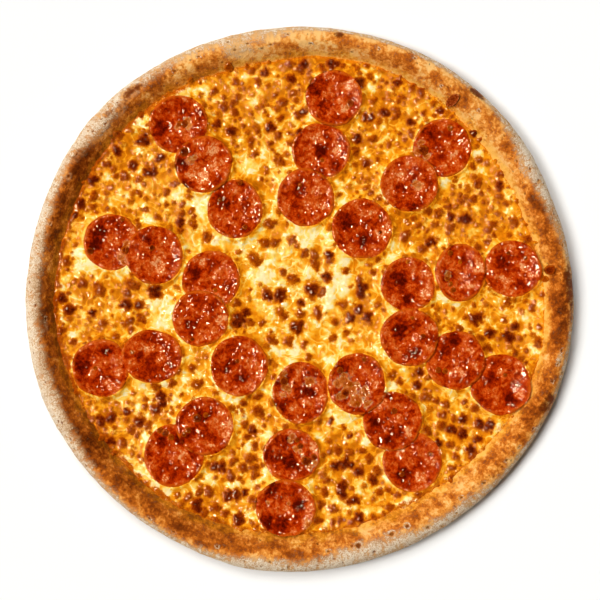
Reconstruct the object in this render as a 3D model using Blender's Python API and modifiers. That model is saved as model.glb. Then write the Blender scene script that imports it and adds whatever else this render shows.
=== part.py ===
"""A whole pepperoni pizza, baked and uncut, lying flat: metres, +Z up.

A round dough crust with a risen rim holds a blanket of melted cheese that has puffed into brown
blisters. Thirty round slices of pepperoni are sunk a little into the cheese, some of them lying
over the edge of another, and one small scrap of pepperoni has landed on the rim.
"""

from math import atan2, ceil, cos, hypot, pi, sin, sqrt, tau
from random import Random

import bmesh
import bpy
from mathutils import Vector
from mathutils.geometry import delaunay_2d_cdt

MM = 0.001
CLEARANCE = 0.3 * MM
SLOPE_CLEARANCE = 0.45 * MM

# Dough. The two rings of radii are read every 20 degrees, from +X towards +Y.
OUTER_RADII = [radius * MM for radius in (
    173.9, 173.0, 174.8, 175.6, 175.3, 175.6, 176.6, 178.3, 176.5,
    176.9, 177.4, 175.6, 174.4, 175.1, 172.2, 171.4, 172.1, 174.1)]
CHEESE_EDGE_RADII = [radius * MM for radius in (
    155.2, 151.4, 152.6, 155.2, 157.1, 154.2, 156.5, 158.4, 157.4,
    158.4, 155.8, 154.6, 153.3, 150.1, 148.2, 146.9, 149.8, 155.2)]
OUTER_RADIUS = 175.0 * MM
CREST_RADIUS = 165.5 * MM
FOOT_RADIUS = 147.0 * MM
SOLE_RADIUS = 166.5 * MM
BASE_THICKNESS = 5.0 * MM
CREST_HEIGHT = 18.0 * MM
WIDEST_HEIGHT = 8.0 * MM
AROUND_STEPS = 90
SLOPE_STEPS = 8
CHEESE_EDGE_STEP = 3
SHOULDER_STEPS = 5
HEEL_STEPS = 3
EDGE_RADIUS = FOOT_RADIUS + (CREST_RADIUS - FOOT_RADIUS) * CHEESE_EDGE_STEP / SLOPE_STEPS
# Uneven rise of the rim: waves in one turn, share of the rim's height, phase
RIM_WAVES = ((2, 0.05, 0.6), (5, 0.035, 2.0), (9, 0.02, 4.0))

# Cheese
CHEESE_LEVEL = 8.8 * MM
CHEESE_WAVE = 0.3 * MM
CHEESE_WAVE_X = 19.0 * MM
CHEESE_WAVE_Y = 23.0 * MM
CHEESE_WAVE_PHASES = (1.1, 0.4)
EDGE_RISE_WIDTH = 12.0 * MM
SLICE_SINK = 0.8 * MM
BEDDING_RIM = 0.7 * MM
BEDDING_WIDTH = 2.6 * MM
OPEN_SPACING = 8.0 * MM
HIDDEN_SPACING = 11.0 * MM
RING_SPACING = 2.1 * MM
POINT_CLEARANCE = 0.45
MERGE_DISTANCE = 0.00001

# Blisters: the largest are placed one by one (x, y, radius in mm), the rest are scattered
LARGE_BLISTERS = (
    (-118.2, 95.5, 3.5), (-100.9, 102.5, 4.1), (-90.1, 91.7, 3.2), (-107.9, 86.5, 3.2),
    (-96.4, 82.1, 3.7), (-134.1, 76.3, 3.2), (-141.2, 61.6, 3.5), (-133.5, 66.1, 3.4),
    (-54.3, 112.7, 3.6), (-45.3, 108.3, 4.0), (-49.8, 123.6, 3.4), (-31.9, 101.9, 3.2),
    (-6.4, 141.5, 3.6), (-12.1, 126.8, 3.5), (-2.6, 118.5, 3.3), (1.3, 149.1, 3.5),
    (18.5, 151.0, 3.5), (42.2, 117.2, 3.3), (52.4, 120.4, 3.8), (35.1, 103.1, 3.7),
    (40.9, 87.8, 3.2), (76.0, 133.2, 3.3), (125.8, 73.1, 2.9), (112.4, 75.0, 3.2),
    (104.7, 52.1, 4.2), (80.5, 57.2, 2.9), (66.4, 41.8, 4.2), (82.4, 38.0, 3.2),
    (111.1, -11.2, 4.2), (120.1, -20.8, 3.2), (132.2, -23.3, 3.8), (74.7, -45.7, 3.2),
    (-30.7, 26.5, 4.1), (-23.0, 36.7, 3.6), (8.3, 26.2, 4.6), (37.7, 6.1, 4.6),
    (35.8, -6.1, 3.6), (7.0, 7.3, 4.5), (-21.7, 3.5, 3.8), (-14.1, 2.9, 4.1),
    (-40.9, -13.1, 4.3), (-2.6, -16.9, 4.0), (-13.4, -8.0, 3.6), (-148.8, -6.1, 4.2),
    (-129.0, 6.1, 4.0), (-108.6, 10.5, 4.5), (-94.5, 6.1, 4.1), (-112.4, -2.2, 3.8),
    (-111.8, -14.4, 3.6), (-121.4, -74.4, 3.8), (-128.4, -76.3, 3.4), (-104.1, -77.6, 4.2),
    (-115.0, -91.0, 3.7), (-90.7, -61.0, 3.5), (-93.3, -69.9, 3.5), (-53.7, -106.3, 4.3),
    (-59.4, -122.3, 3.8), (-67.7, -130.6, 4.3), (-44.7, -124.9, 4.5), (-33.2, -101.9, 3.8),
    (-28.1, -70.6, 4.3), (27.5, -105.1, 4.5), (26.2, -121.0, 4.4), (36.4, -109.5, 3.5),
    (45.3, -114.0, 3.6), (33.9, -127.4, 3.6), (88.8, -80.2, 3.9), (102.2, -85.9, 3.9),
    (116.2, -79.5, 4.3), (107.9, -95.5, 3.2))
SCATTERED_BLISTERS = 70
SCATTERED_RADII = (2.2 * MM, 3.0 * MM)
BLISTER_RISE = 0.42
BLISTER_SIDES = 6
BLISTER_SPACING = 1.6
SMALLEST_BLISTER = 1.6 * MM
BLISTER_SEED = 14

# Pepperoni: x, y, radius across X, radius across Y in mm, and layer. A slice lies on every
# slice of a lower layer that it reaches over.
SLICE_THICKNESS = 1.6 * MM
SLICES = (
    (-78.8, 112.5, 18.6, 18.6, 0), (-62.9, 86.9, 18.2, 18.2, 1), (-42.9, 58.4, 17.4, 19.0, 0),
    (-121.5, 37.3, 18.0, 18.0, 0), (-94.2, 28.9, 18.5, 18.5, 1), (-58.1, 13.2, 18.5, 18.5, 0),
    (-64.9, -11.4, 17.9, 17.9, 1), (20.3, 129.3, 17.9, 17.9, 1), (12.1, 95.7, 18.5, 17.6, 0),
    (2.4, 65.7, 18.3, 18.3, 1), (38.3, 45.8, 19.2, 19.2, 0), (89.7, 97.3, 18.5, 18.5, 0),
    (68.7, 74.6, 18.2, 18.2, 1), (67.8, 10.3, 17.3, 17.5, 0), (101.0, 17.8, 16.0, 18.5, 1),
    (134.2, 20.2, 18.2, 18.2, 0), (68.7, -23.6, 18.5, 18.5, 2), (98.0, -38.3, 18.8, 18.8, 1),
    (126.8, -53.5, 19.2, 19.2, 0), (-0.8, -58.9, 17.8, 19.6, 0), (35.1, -53.3, 18.1, 19.8, 2),
    (57.6, -77.0, 18.8, 18.8, 1), (70.5, -103.1, 18.9, 18.9, 0), (-128.3, -43.1, 18.2, 18.2, 0),
    (-95.6, -35.7, 19.1, 17.0, 1), (-40.2, -41.8, 18.3, 19.0, 0), (-62.1, -80.3, 18.5, 18.5, 1),
    (-81.8, -98.9, 18.9, 20.2, 0), (-6.8, -98.9, 18.0, 16.8, 0), (-10.5, -132.5, 19.2, 18.0, 1))
SLICE_SIDES = 16
SLICE_WOBBLE = 0.006
SLICE_WOBBLE_ORDERS = (2, 3, 5)
SLICE_CUP = (0.5 * MM, 1.0 * MM)
DRAPE_MARGIN = 6.5 * MM
DRAPE_FADE = 7.0 * MM
FLAT_RINGS = (0.6, 1.0)
DRAPED_RINGS = (0.36, 0.7, 1.0)

# Scrap of pepperoni on the rim
SCRAP_PLACE = (95.8 * MM, 127.4 * MM)
SCRAP_HALF_LENGTH = 4.8 * MM
SCRAP_HALF_WIDTH = 2.9 * MM
SCRAP_TURN = 0.75
SCRAP_THICKNESS = 1.2 * MM
SCRAP_CURL = 0.6 * MM
SCRAP_SIDES = 12

CRUST_COLOUR = (0.62, 0.30, 0.075)
CHEESE_COLOUR = (0.84, 0.45, 0.06)
PEPPERONI_COLOUR = (0.50, 0.055, 0.012)
SCRAP_COLOUR = (0.33, 0.05, 0.015)


def smooth(share):
    """Ease from 0 to 1 as the share runs from 0 to 1, flat at both ends."""
    share = min(max(share, 0.0), 1.0)
    return share * share * (3.0 - 2.0 * share)


def ring_value(values, angle):
    """Value at an angle of a closed ring of evenly spaced values, along a smooth curve."""
    place = (angle % tau) / tau * len(values)
    start = int(place)
    share = place - start
    before, here, after, beyond = (values[(start + step) % len(values)] for step in (-1, 0, 1, 2))
    slope_here = (after - before) / 2.0
    slope_after = (beyond - here) / 2.0
    rise = after - here
    cubic = slope_here + slope_after - 2.0 * rise
    square = 3.0 * rise - 2.0 * slope_here - slope_after
    return ((cubic * share + square) * share + slope_here) * share + here


def rim_lift(angle):
    """How much higher or lower than usual the rim has risen at an angle."""
    return 1.0 + sum(share * sin(waves * angle + phase) for waves, share, phase in RIM_WAVES)


def stretched(radius, angle):
    """Real radius of a point of the even profile, stretched to the uneven crust."""
    edge = ring_value(CHEESE_EDGE_RADII, angle)
    outer = ring_value(OUTER_RADII, angle)
    if radius <= EDGE_RADIUS:
        return radius * edge / EDGE_RADIUS
    return edge + (outer - edge) * (radius - EDGE_RADIUS) / (OUTER_RADIUS - EDGE_RADIUS)


def unstretched(radius, angle):
    """Radius on the even profile of a point of the uneven crust."""
    edge = ring_value(CHEESE_EDGE_RADII, angle)
    outer = ring_value(OUTER_RADII, angle)
    if radius <= edge:
        return radius * EDGE_RADIUS / edge
    return EDGE_RADIUS + (OUTER_RADIUS - EDGE_RADIUS) * (radius - edge) / (outer - edge)


def slope_height(radius, angle):
    """Height of the rim's inner slope over a radius of the even profile."""
    rise = smooth((radius - FOOT_RADIUS) / (CREST_RADIUS - FOOT_RADIUS))
    return BASE_THICKNESS + (CREST_HEIGHT - BASE_THICKNESS) * rise * rim_lift(angle)


def cheese_height(x, y):
    """Height of the open cheese over (x, y), or of the bare rim beyond its edge."""
    angle = atan2(y, x)
    radius = unstretched(hypot(x, y), angle)
    wave = sin(x / CHEESE_WAVE_X + CHEESE_WAVE_PHASES[0]) * sin(y / CHEESE_WAVE_Y + CHEESE_WAVE_PHASES[1])
    inside = CHEESE_LEVEL + CHEESE_WAVE * wave
    edge = slope_height(max(radius, EDGE_RADIUS), angle) + SLOPE_CLEARANCE
    return inside + (edge - inside) * smooth((radius - EDGE_RADIUS) / EDGE_RISE_WIDTH + 1.0)


class Slice:
    """One round of pepperoni: its outline, and how its underside lies on what is below."""

    def __init__(self, number, x, y, half_width, half_depth, layer):
        draw = Random(number)
        self.number = number
        self.x = x * MM
        self.y = y * MM
        self.half_width = half_width * MM
        self.half_depth = half_depth * MM
        self.layer = layer
        self.phases = [draw.uniform(0.0, tau) for _ in SLICE_WOBBLE_ORDERS]
        self.cup = draw.uniform(*SLICE_CUP)
        self.below = []

    def reach(self, angle):
        """Distance from the middle to the edge in one direction."""
        ellipse = self.half_width * self.half_depth / hypot(
            self.half_depth * cos(angle), self.half_width * sin(angle))
        waves = zip(SLICE_WOBBLE_ORDERS, self.phases)
        return ellipse * (1.0 + SLICE_WOBBLE * sum(sin(order * angle + phase) for order, phase in waves))

    def outside(self, x, y):
        """Distance of (x, y) from the edge, below zero inside the slice."""
        across, along = x - self.x, y - self.y
        return hypot(across, along) - self.reach(atan2(along, across))

    def underside(self, x, y):
        """Height of the underside over (x, y), draped over the slices below."""
        radius = hypot(x - self.x, y - self.y)
        share = min(radius / (radius - self.outside(x, y)), 1.0)
        height = bed_height(x, y) + CLEARANCE + self.cup * share ** 3
        for lower in self.below:
            drape = 1.0 - smooth((lower.outside(x, y) - DRAPE_MARGIN) / DRAPE_FADE)
            if drape > 0.0:
                resting = lower.underside(x, y) + SLICE_THICKNESS + CLEARANCE
                height = max(height, height + (resting - height) * drape)
        return height


def lay_slices():
    """All the slices, each knowing the ones that it lies on."""
    slices = [Slice(number, *row) for number, row in enumerate(SLICES, start=1)]
    for upper in slices:
        for lower in slices:
            near = hypot(upper.x - lower.x, upper.y - lower.y)
            reach = max(upper.half_width, upper.half_depth) + max(lower.half_width, lower.half_depth)
            if lower.layer < upper.layer and near < reach:
                upper.below.append(lower)
    return slices


slices = lay_slices()


def nearest_slice(x, y):
    """Distance from (x, y) to the nearest slice's edge, below zero on a slice."""
    return min(piece.outside(x, y) for piece in slices)


def bed_height(x, y):
    """Height of the cheese over (x, y), pressed down under and beside the slices."""
    cover = 1.0 - smooth((nearest_slice(x, y) - BEDDING_RIM) / BEDDING_WIDTH)
    radius = unstretched(hypot(x, y), atan2(y, x))
    inner = 1.0 - smooth((radius - EDGE_RADIUS) / EDGE_RISE_WIDTH + 1.0)
    return cheese_height(x, y) - SLICE_SINK * cover * inner


def new_material(name, colour, roughness):
    material = bpy.data.materials.new(name)
    material.use_nodes = True
    shader = material.node_tree.nodes["Principled BSDF"]
    shader.inputs["Base Color"].default_value = (*colour, 1.0)
    shader.inputs["Roughness"].default_value = roughness
    shader.inputs["Metallic"].default_value = 0.0
    material.diffuse_color = (*colour, 1.0)
    return material


def turned_mesh(name, profile, steps):
    """Mesh of a closed profile of (radius, height) turned about Z, with both poles merged."""
    outline = bpy.data.meshes.new(name + "_profile")
    rows = [(radius, 0.0, height) for radius, height in profile]
    outline.from_pydata(rows, [(row, row + 1) for row in range(len(rows) - 1)], [])
    guide = bpy.data.objects.new(name + "_profile", outline)
    bpy.context.scene.collection.objects.link(guide)
    screw = guide.modifiers.new("turn", "SCREW")
    screw.axis = "Z"
    screw.steps = steps
    screw.render_steps = steps
    screw.use_merge_vertices = True
    screw.merge_threshold = MERGE_DISTANCE
    bpy.context.view_layer.update()
    evaluated = guide.evaluated_get(bpy.context.evaluated_depsgraph_get())
    mesh = bpy.data.meshes.new_from_object(evaluated)
    bpy.data.objects.remove(guide)
    bpy.data.meshes.remove(outline)
    mesh.name = name
    return mesh


def add_piece(name, mesh, material, collection, parent):
    """Object for one piece, hung on the pizza's centre."""
    mesh.materials.clear()
    mesh.materials.append(material)
    mesh.shade_smooth()
    piece = bpy.data.objects.new(name, mesh)
    piece.parent = parent
    collection.objects.link(piece)
    return piece


def crust_profile():
    """Half section of the crust, from the top of the base over the rim to the underside."""
    slope = [FOOT_RADIUS + (CREST_RADIUS - FOOT_RADIUS) * step / SLOPE_STEPS
             for step in range(SLOPE_STEPS + 1)]
    rise = CREST_HEIGHT - BASE_THICKNESS
    inner = [(radius, BASE_THICKNESS + rise * smooth(step / SLOPE_STEPS))
             for step, radius in enumerate(slope)]
    shoulder = [(CREST_RADIUS + (OUTER_RADIUS - CREST_RADIUS) * sin(turn),
                 WIDEST_HEIGHT + (CREST_HEIGHT - WIDEST_HEIGHT) * cos(turn))
                for turn in (pi / 2.0 * step / SHOULDER_STEPS for step in range(1, SHOULDER_STEPS + 1))]
    heel = [(SOLE_RADIUS + (OUTER_RADIUS - SOLE_RADIUS) * cos(turn), WIDEST_HEIGHT * (1.0 - sin(turn)))
            for turn in (pi / 2.0 * step / HEEL_STEPS for step in range(1, HEEL_STEPS + 1))]
    return [(0.0, BASE_THICKNESS)] + inner + shoulder + heel + [(0.0, 0.0)]


def crust_mesh():
    """Turned crust, then pulled to the uneven outline and the uneven height of the rim."""
    mesh = turned_mesh("crust", crust_profile(), AROUND_STEPS)
    for vertex in mesh.vertices:
        x, y, height = vertex.co
        angle = atan2(y, x)
        radius = stretched(hypot(x, y), angle)
        if height > BASE_THICKNESS:
            height = BASE_THICKNESS + (height - BASE_THICKNESS) * rim_lift(angle)
        vertex.co = (radius * cos(angle), radius * sin(angle), height)
    return mesh


def clear_of(places, x, y, distance):
    """Whether (x, y) is at least a distance from every place."""
    return all(hypot(x - place[0], y - place[1]) >= distance for place in places)


def place_blisters():
    """Places and radii of the blisters on the open cheese, clear of each other."""
    blisters = []
    for x, y, radius in LARGE_BLISTERS:
        room = min(radius * MM, nearest_slice(x * MM, y * MM) - BEDDING_RIM)
        if room >= SMALLEST_BLISTER:
            blisters.append((x * MM, y * MM, room))
    draw = Random(BLISTER_SEED)
    wanted = len(blisters) + SCATTERED_BLISTERS
    while len(blisters) < wanted:
        x, y = (draw.uniform(-EDGE_RADIUS, EDGE_RADIUS) for _ in range(2))
        radius = draw.uniform(*SCATTERED_RADII)
        inside = unstretched(hypot(x, y), atan2(y, x)) < EDGE_RADIUS - 2.0 * radius
        open_cheese = nearest_slice(x, y) > radius + BEDDING_RIM
        apart = all(hypot(x - other[0], y - other[1]) > BLISTER_SPACING * (radius + other[2])
                    for other in blisters)
        if inside and open_cheese and apart:
            blisters.append((x, y, radius))
    return blisters


def lattice(spacing):
    """Points of a triangular lattice that covers the cheese."""
    rows = ceil(EDGE_RADIUS / (spacing * sqrt(3.0) / 2.0))
    columns = ceil(EDGE_RADIUS / spacing)
    for row in range(-rows, rows + 1):
        for column in range(-columns, columns + 1):
            yield (column + row % 2 / 2.0) * spacing, row * spacing * sqrt(3.0) / 2.0


def cheese_points(edge):
    """Points of the cheese's top: edge ring, blisters, rings round the slices, then filler."""
    points = [tuple(point) for point in edge]
    for x, y, radius in place_blisters():
        points.append((x, y, bed_height(x, y) + BLISTER_RISE * radius))
        for side in range(BLISTER_SIDES):
            turn = tau * side / BLISTER_SIDES
            foot_x, foot_y = x + radius * cos(turn), y + radius * sin(turn)
            points.append((foot_x, foot_y, bed_height(foot_x, foot_y)))
    for piece in slices:
        for ring, distance in enumerate((BEDDING_RIM, BEDDING_RIM + BEDDING_WIDTH)):
            for side in range(SLICE_SIDES):
                turn = tau * (side + ring / 2.0) / SLICE_SIDES
                reach = piece.reach(turn) + distance
                x, y = piece.x + reach * cos(turn), piece.y + reach * sin(turn)
                inside = unstretched(hypot(x, y), atan2(y, x)) < EDGE_RADIUS - BEDDING_WIDTH
                beside = nearest_slice(x, y) > distance - MERGE_DISTANCE
                if inside and beside and clear_of(points, x, y, RING_SPACING):
                    points.append((x, y, bed_height(x, y)))
    for spacing, hidden in ((HIDDEN_SPACING, True), (OPEN_SPACING, False)):
        for x, y in lattice(spacing):
            inside = unstretched(hypot(x, y), atan2(y, x)) < EDGE_RADIUS - spacing * POINT_CLEARANCE
            wanted = (nearest_slice(x, y) < 0.0) == hidden
            if inside and wanted and clear_of(points, x, y, spacing * POINT_CLEARANCE):
                points.append((x, y, bed_height(x, y)))
    return points


def cheese_mesh():
    """Blanket of cheese: a triangulated uneven top on an underside that follows the crust."""
    angles = [tau * step / AROUND_STEPS for step in range(AROUND_STEPS)]
    rings = []
    for step in range(CHEESE_EDGE_STEP, -1, -1):
        even_radius = FOOT_RADIUS + (CREST_RADIUS - FOOT_RADIUS) * step / SLOPE_STEPS
        ring = []
        for angle in angles:
            radius = stretched(even_radius, angle)
            height = slope_height(even_radius, angle) + SLOPE_CLEARANCE
            ring.append((radius * cos(angle), radius * sin(angle), height))
        rings.append(ring)
    points = cheese_points(rings[0])
    flat = [Vector((x, y)) for x, y, _ in points]
    edges = [(step, (step + 1) % AROUND_STEPS) for step in range(AROUND_STEPS)]
    inside_only = 1
    corners, _, triangles, sources, _, _ = delaunay_2d_cdt(flat, edges, [], inside_only, MERGE_DISTANCE)

    shape = bmesh.new()
    top = [shape.verts.new((*corner, points[source[0]][2])) for corner, source in zip(corners, sources)]
    place = {source[0]: vertex for vertex, source in zip(top, sources)}
    for triangle in triangles:
        shape.faces.new([top[corner] for corner in triangle])
    above = [place[step] for step in range(AROUND_STEPS)]
    for ring in rings[1:]:
        below = [shape.verts.new(point) for point in ring]
        for step in range(AROUND_STEPS):
            after = (step + 1) % AROUND_STEPS
            shape.faces.new((above[step], below[step], below[after], above[after]))
        above = below
    shape.faces.new(list(reversed(above)))
    bmesh.ops.recalc_face_normals(shape, faces=shape.faces[:])
    mesh = bpy.data.meshes.new("cheese")
    shape.to_mesh(mesh)
    shape.free()
    return mesh


def slice_mesh(piece):
    """Turned disc, then pulled to the slice's outline and laid on what is below it."""
    rings = DRAPED_RINGS if piece.below else FLAT_RINGS
    top = [(0.0, SLICE_THICKNESS)] + [(ring * MM, SLICE_THICKNESS) for ring in rings]
    bottom = [(ring * MM, 0.0) for ring in reversed(rings)] + [(0.0, 0.0)]
    mesh = turned_mesh(f"pepperoni_{piece.number:02d}", top + bottom, SLICE_SIDES)
    for vertex in mesh.vertices:
        across, along, height = vertex.co
        angle = atan2(along, across)
        radius = hypot(across, along) / MM * piece.reach(angle)
        x, y = piece.x + radius * cos(angle), piece.y + radius * sin(angle)
        vertex.co = (x, y, piece.underside(x, y) + height)
    return mesh


def scrap_mesh():
    """Small oval scrap, curled up at its ends and lying on the rim's inner slope."""
    top = [(0.0, SCRAP_THICKNESS)] + [(ring * MM, SCRAP_THICKNESS) for ring in FLAT_RINGS]
    bottom = [(ring * MM, 0.0) for ring in reversed(FLAT_RINGS)] + [(0.0, 0.0)]
    mesh = turned_mesh("rim_scrap", top + bottom, SCRAP_SIDES)
    for vertex in mesh.vertices:
        along, across, height = vertex.co
        along *= SCRAP_HALF_LENGTH / MM
        across *= SCRAP_HALF_WIDTH / MM
        x = SCRAP_PLACE[0] + along * cos(SCRAP_TURN) - across * sin(SCRAP_TURN)
        y = SCRAP_PLACE[1] + along * sin(SCRAP_TURN) + across * cos(SCRAP_TURN)
        curl = SCRAP_CURL * (along / SCRAP_HALF_LENGTH) ** 2
        vertex.co = (x, y, cheese_height(x, y) + curl + height)
    return mesh


def crust_middle(crust):
    """Middle of the crust's box in plan."""
    xs = [vertex.co.x for vertex in crust.vertices]
    ys = [vertex.co.y for vertex in crust.vertices]
    return (min(xs) + max(xs)) / 2.0, (min(ys) + max(ys)) / 2.0


def build():
    for thing in list(bpy.data.objects):
        bpy.data.objects.remove(thing)
    collection = bpy.data.collections.new("pepperoni_pizza")
    bpy.context.scene.collection.children.link(collection)

    crust = crust_mesh()
    middle_x, middle_y = crust_middle(crust)
    centre = bpy.data.objects.new("pizza_centre", None)
    centre.location = (-middle_x, -middle_y, 0.0)
    collection.objects.link(centre)

    add_piece("crust", crust, new_material("baked_crust", CRUST_COLOUR, 0.75), collection, centre)
    cheese = new_material("melted_cheese", CHEESE_COLOUR, 0.35)
    add_piece("cheese", cheese_mesh(), cheese, collection, centre)
    pepperoni = new_material("pepperoni", PEPPERONI_COLOUR, 0.3)
    for piece in slices:
        add_piece(f"pepperoni_{piece.number:02d}", slice_mesh(piece), pepperoni, collection, centre)
    scrap = new_material("browned_scrap", SCRAP_COLOUR, 0.45)
    add_piece("rim_scrap", scrap_mesh(), scrap, collection, centre)


build()
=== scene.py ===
"""Looks of a whole pepperoni pizza, baked and uncut, lying flat on a pale floor: metres, +Z up."""

from math import cos, pi, radians, sin, tau
from random import Random

import bpy
import numpy as np
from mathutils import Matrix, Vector, kdtree, noise
from mathutils.geometry import delaunay_2d_cdt


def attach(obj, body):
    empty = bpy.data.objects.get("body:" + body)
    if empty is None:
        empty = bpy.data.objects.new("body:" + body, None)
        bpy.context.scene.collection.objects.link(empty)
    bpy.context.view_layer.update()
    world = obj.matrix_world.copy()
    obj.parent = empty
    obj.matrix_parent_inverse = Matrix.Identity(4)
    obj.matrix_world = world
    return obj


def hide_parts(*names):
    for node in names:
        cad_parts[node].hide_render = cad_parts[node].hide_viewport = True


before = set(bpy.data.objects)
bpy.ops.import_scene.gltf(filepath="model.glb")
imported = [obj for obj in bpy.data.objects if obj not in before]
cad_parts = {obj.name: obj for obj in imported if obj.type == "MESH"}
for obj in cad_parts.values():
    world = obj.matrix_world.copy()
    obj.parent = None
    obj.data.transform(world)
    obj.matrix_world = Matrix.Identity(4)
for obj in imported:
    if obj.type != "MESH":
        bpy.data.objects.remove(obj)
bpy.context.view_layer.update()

# The dough crust
# A round of wheat dough, stretched by hand on a floured board with its rim left thick. In the
# oven the rim rises and its crest browns, its outer side keeps the flour, and bubbles scorch.
MM = 0.001
OUTER_RADII = [radius * MM for radius in (
    173.9, 173.0, 174.8, 175.6, 175.3, 175.6, 176.6, 178.3, 176.5,
    176.9, 177.4, 175.6, 174.4, 175.1, 172.2, 171.4, 172.1, 174.1)]
CHEESE_EDGE_RADII = [radius * MM for radius in (
    155.2, 151.4, 152.6, 155.2, 157.1, 154.2, 156.5, 158.4, 157.4,
    158.4, 155.8, 154.6, 153.3, 150.1, 148.2, 146.9, 149.8, 155.2)]
OUTER_RADIUS = 175.0 * MM
CREST_RADIUS = 165.5 * MM
FOOT_RADIUS = 147.0 * MM
SOLE_RADIUS = 166.5 * MM
EDGE_RADIUS = FOOT_RADIUS + (CREST_RADIUS - FOOT_RADIUS) * 3.0 / 8.0
BASE_THICKNESS = 5.0 * MM
CREST_HEIGHT = 18.0 * MM
WIDEST_HEIGHT = 8.0 * MM
RIM_WAVES = ((2, 0.05, 0.6), (5, 0.035, 2.0), (9, 0.02, 4.0))
CAD_FACETS = 90
# Where the photograph's 600 pixels lie on the pizza: its middle, and the size of a pixel
PHOTO_MIDDLE = (302.0, 300.5)
PHOTO_PIXEL = 0.6387 * MM

RIM_STEPS_ROUND = 1180
RIM_STEP = 0.86 * MM
UNDERSIDE_RADII = [radius * MM for radius in (164, 160, 155, 148, 138, 126, 112, 96, 78, 58, 36, 12)]
SKIN_DEPTH = 0.32 * MM
SKIN_TOP = 0.12 * MM
# Unevenness of the crust: size of the lumps, and how far they stand up or sink
RIM_LUMPS = ((17.0 * MM, 0.50 * MM), (6.0 * MM, 0.26 * MM), (2.4 * MM, 0.13 * MM))

# Every 10 degrees from the right, turning towards the top: how far in the flour reaches (photo
# pixels from the middle), how thick it lies, and how brown the crest is, with painted shade on the left
FLOUR_REACH = (272, 263, 257, 253, 262, 270, 272, 271, 270, 265, 257, 261, 262, 261, 256, 264, 261, 258,
               258, 258, 257, 259, 264, 266, 265, 264, 257, 256, 247, 246, 252, 254, 261, 266, 268, 266)
FLOUR_AMOUNT = (0.4, 0.7, 0.9, 1.0, 0.85, 0.6, 0.3, 0.34, 0.38, 0.6, 0.6, 0.6, 0.56, 0.85, 0.85,
                0.95, 1.0, 1.0, 1.1, 1.1, 1.1, 1.1, 1.0, 0.95, 0.95, 0.95, 1.0, 0.95, 0.95, 0.95,
                0.9, 0.85, 0.6, 0.45, 0.35, 0.4)
CREST_BROWNING_AND_SHADE = (0.85, 0.6, 0.55, 0.35, 0.35, 0.45, 0.35, 0.3, 0.23, 0.16, 0.11, 0.18, 0.37, 0.55, 0.5,
            0.8, 0.75, 0.65, 0.75, 0.75, 0.75, 0.8, 0.75, 0.65, 0.7, 0.6, 0.45, 0.45, 0.35, 0.35,
            0.3, 0.35, 0.45, 0.6, 0.6, 0.65)
# Photo pixels: how far inside its reach the flour begins, and over how much it thickens
FLOUR_LEAD = 4.0
FLOUR_FADE = 15.0
# The skin browns most along a band just inside the crest
CREST_INSET = 1.5 * MM
CREST_WIDTH = 8.5 * MM
# Patches on the rim: degrees, photo pixels from the middle, half length in degrees, half width
# in pixels, strength
SCORCHED = ((3, 267, 5.0, 6, 0.9), (50, 271, 1.7, 3.5, 0.9), (82, 268, 1.4, 3, 0.8),
            (129, 269, 2.6, 5, 0.75), (132, 265, 3, 4, 0.4), (337, 266, 2.6, 6, 0.9),
            (357, 266, 4, 6, 0.45), (157, 256, 1.6, 2, 0.6), (118, 262, 2, 3, 0.35),
            (136, 268, 1.6, 3, 0.4), (148, 266, 2.5, 4, 0.35), (151, 262, 4, 5, 0.3),
            (216, 250, 3, 6, 0.35), (14, 252, 3.5, 4, 0.35), (7, 249, 1.3, 3.5, 0.8),
            (240, 256, 4, 6, 0.3))
FLOURED = ((31, 260, 3.5, 7, 0.7), (347, 263, 1.8, 3.5, 0.7), (140, 262, 3.5, 5, 0.7),
           (134, 260, 2, 4, 0.5), (152, 262, 1.2, 3, 0.6), (172, 264, 3, 5, 0.5),
           (104, 258, 4, 7, 0.6), (185, 256, 2.5, 2, 0.4), (314, 262, 2, 3, 0.5),
           (303, 259, 3, 4, 0.5), (282, 258, 4, 8, 0.6), (291, 257, 4, 8, 0.6),
           (266, 263, 3, 5, 0.6), (22, 264, 2, 4, 0.5))
# Burst bubbles that left pits with a floury lip, and painted shade inside them: degrees, photo
# pixels from the middle, radius
PITS = ((283, 250, 3.4), (291, 249, 3.2), (295, 247, 2.6), (286, 261, 2.6), (299, 259, 2.4),
        (276, 251, 2.2), (315, 257, 2.2), (309, 252, 2.0), (322, 259, 2.0), (326, 261, 1.8),
        (306, 262, 1.8), (97, 256, 1.9), (99, 254, 1.8), (102, 262, 2.2), (105, 258, 2.3),
        (106, 269, 1.8), (113, 264, 2.0), (93, 266, 1.8), (88, 256, 1.8), (119, 262, 2.1),
        (138, 263, 2.4), (141, 268, 2.0), (147, 267, 2.0), (133, 270, 1.8), (152, 263, 2.6),
        (181, 265, 2.0), (184, 256, 2.0), (207, 269, 2.0), (211, 270, 2.0), (213, 271, 1.8),
        (191, 273, 1.8), (235, 266, 2.2), (241, 264, 2.0), (251, 259, 1.8), (263, 263, 2.0),
        (266, 270, 2.0), (30, 262, 2.2), (27, 264, 1.8), (19, 266, 1.8), (12, 266, 1.8),
        (33, 255, 1.8), (349, 264, 2.2), (346, 262, 1.8), (342, 262, 1.8), (331, 264, 1.8),
        (47, 258, 1.8), (65, 266, 1.6), (73, 262, 1.5), (57, 254, 1.5), (163, 262, 1.8))
SMALL_PITS = 300
SMALL_PIT_RADII = (0.8 * MM, 1.4 * MM)
SMALL_PIT_REACH = (0.22, 0.80)
SMALL_PIT_STRENGTH = 0.7
PIT_DEPTH = 0.75
PIT_LIP = 0.28
PIT_LIP_PLACE = 1.2
PIT_LIP_WIDTH = 0.32
PIT_SEED = 5
# The flour was brushed outwards, so it lies in streaks that run across the rim
STREAK_SIZE = 1.6 * MM
STREAK_LENGTH = 3.5
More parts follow.
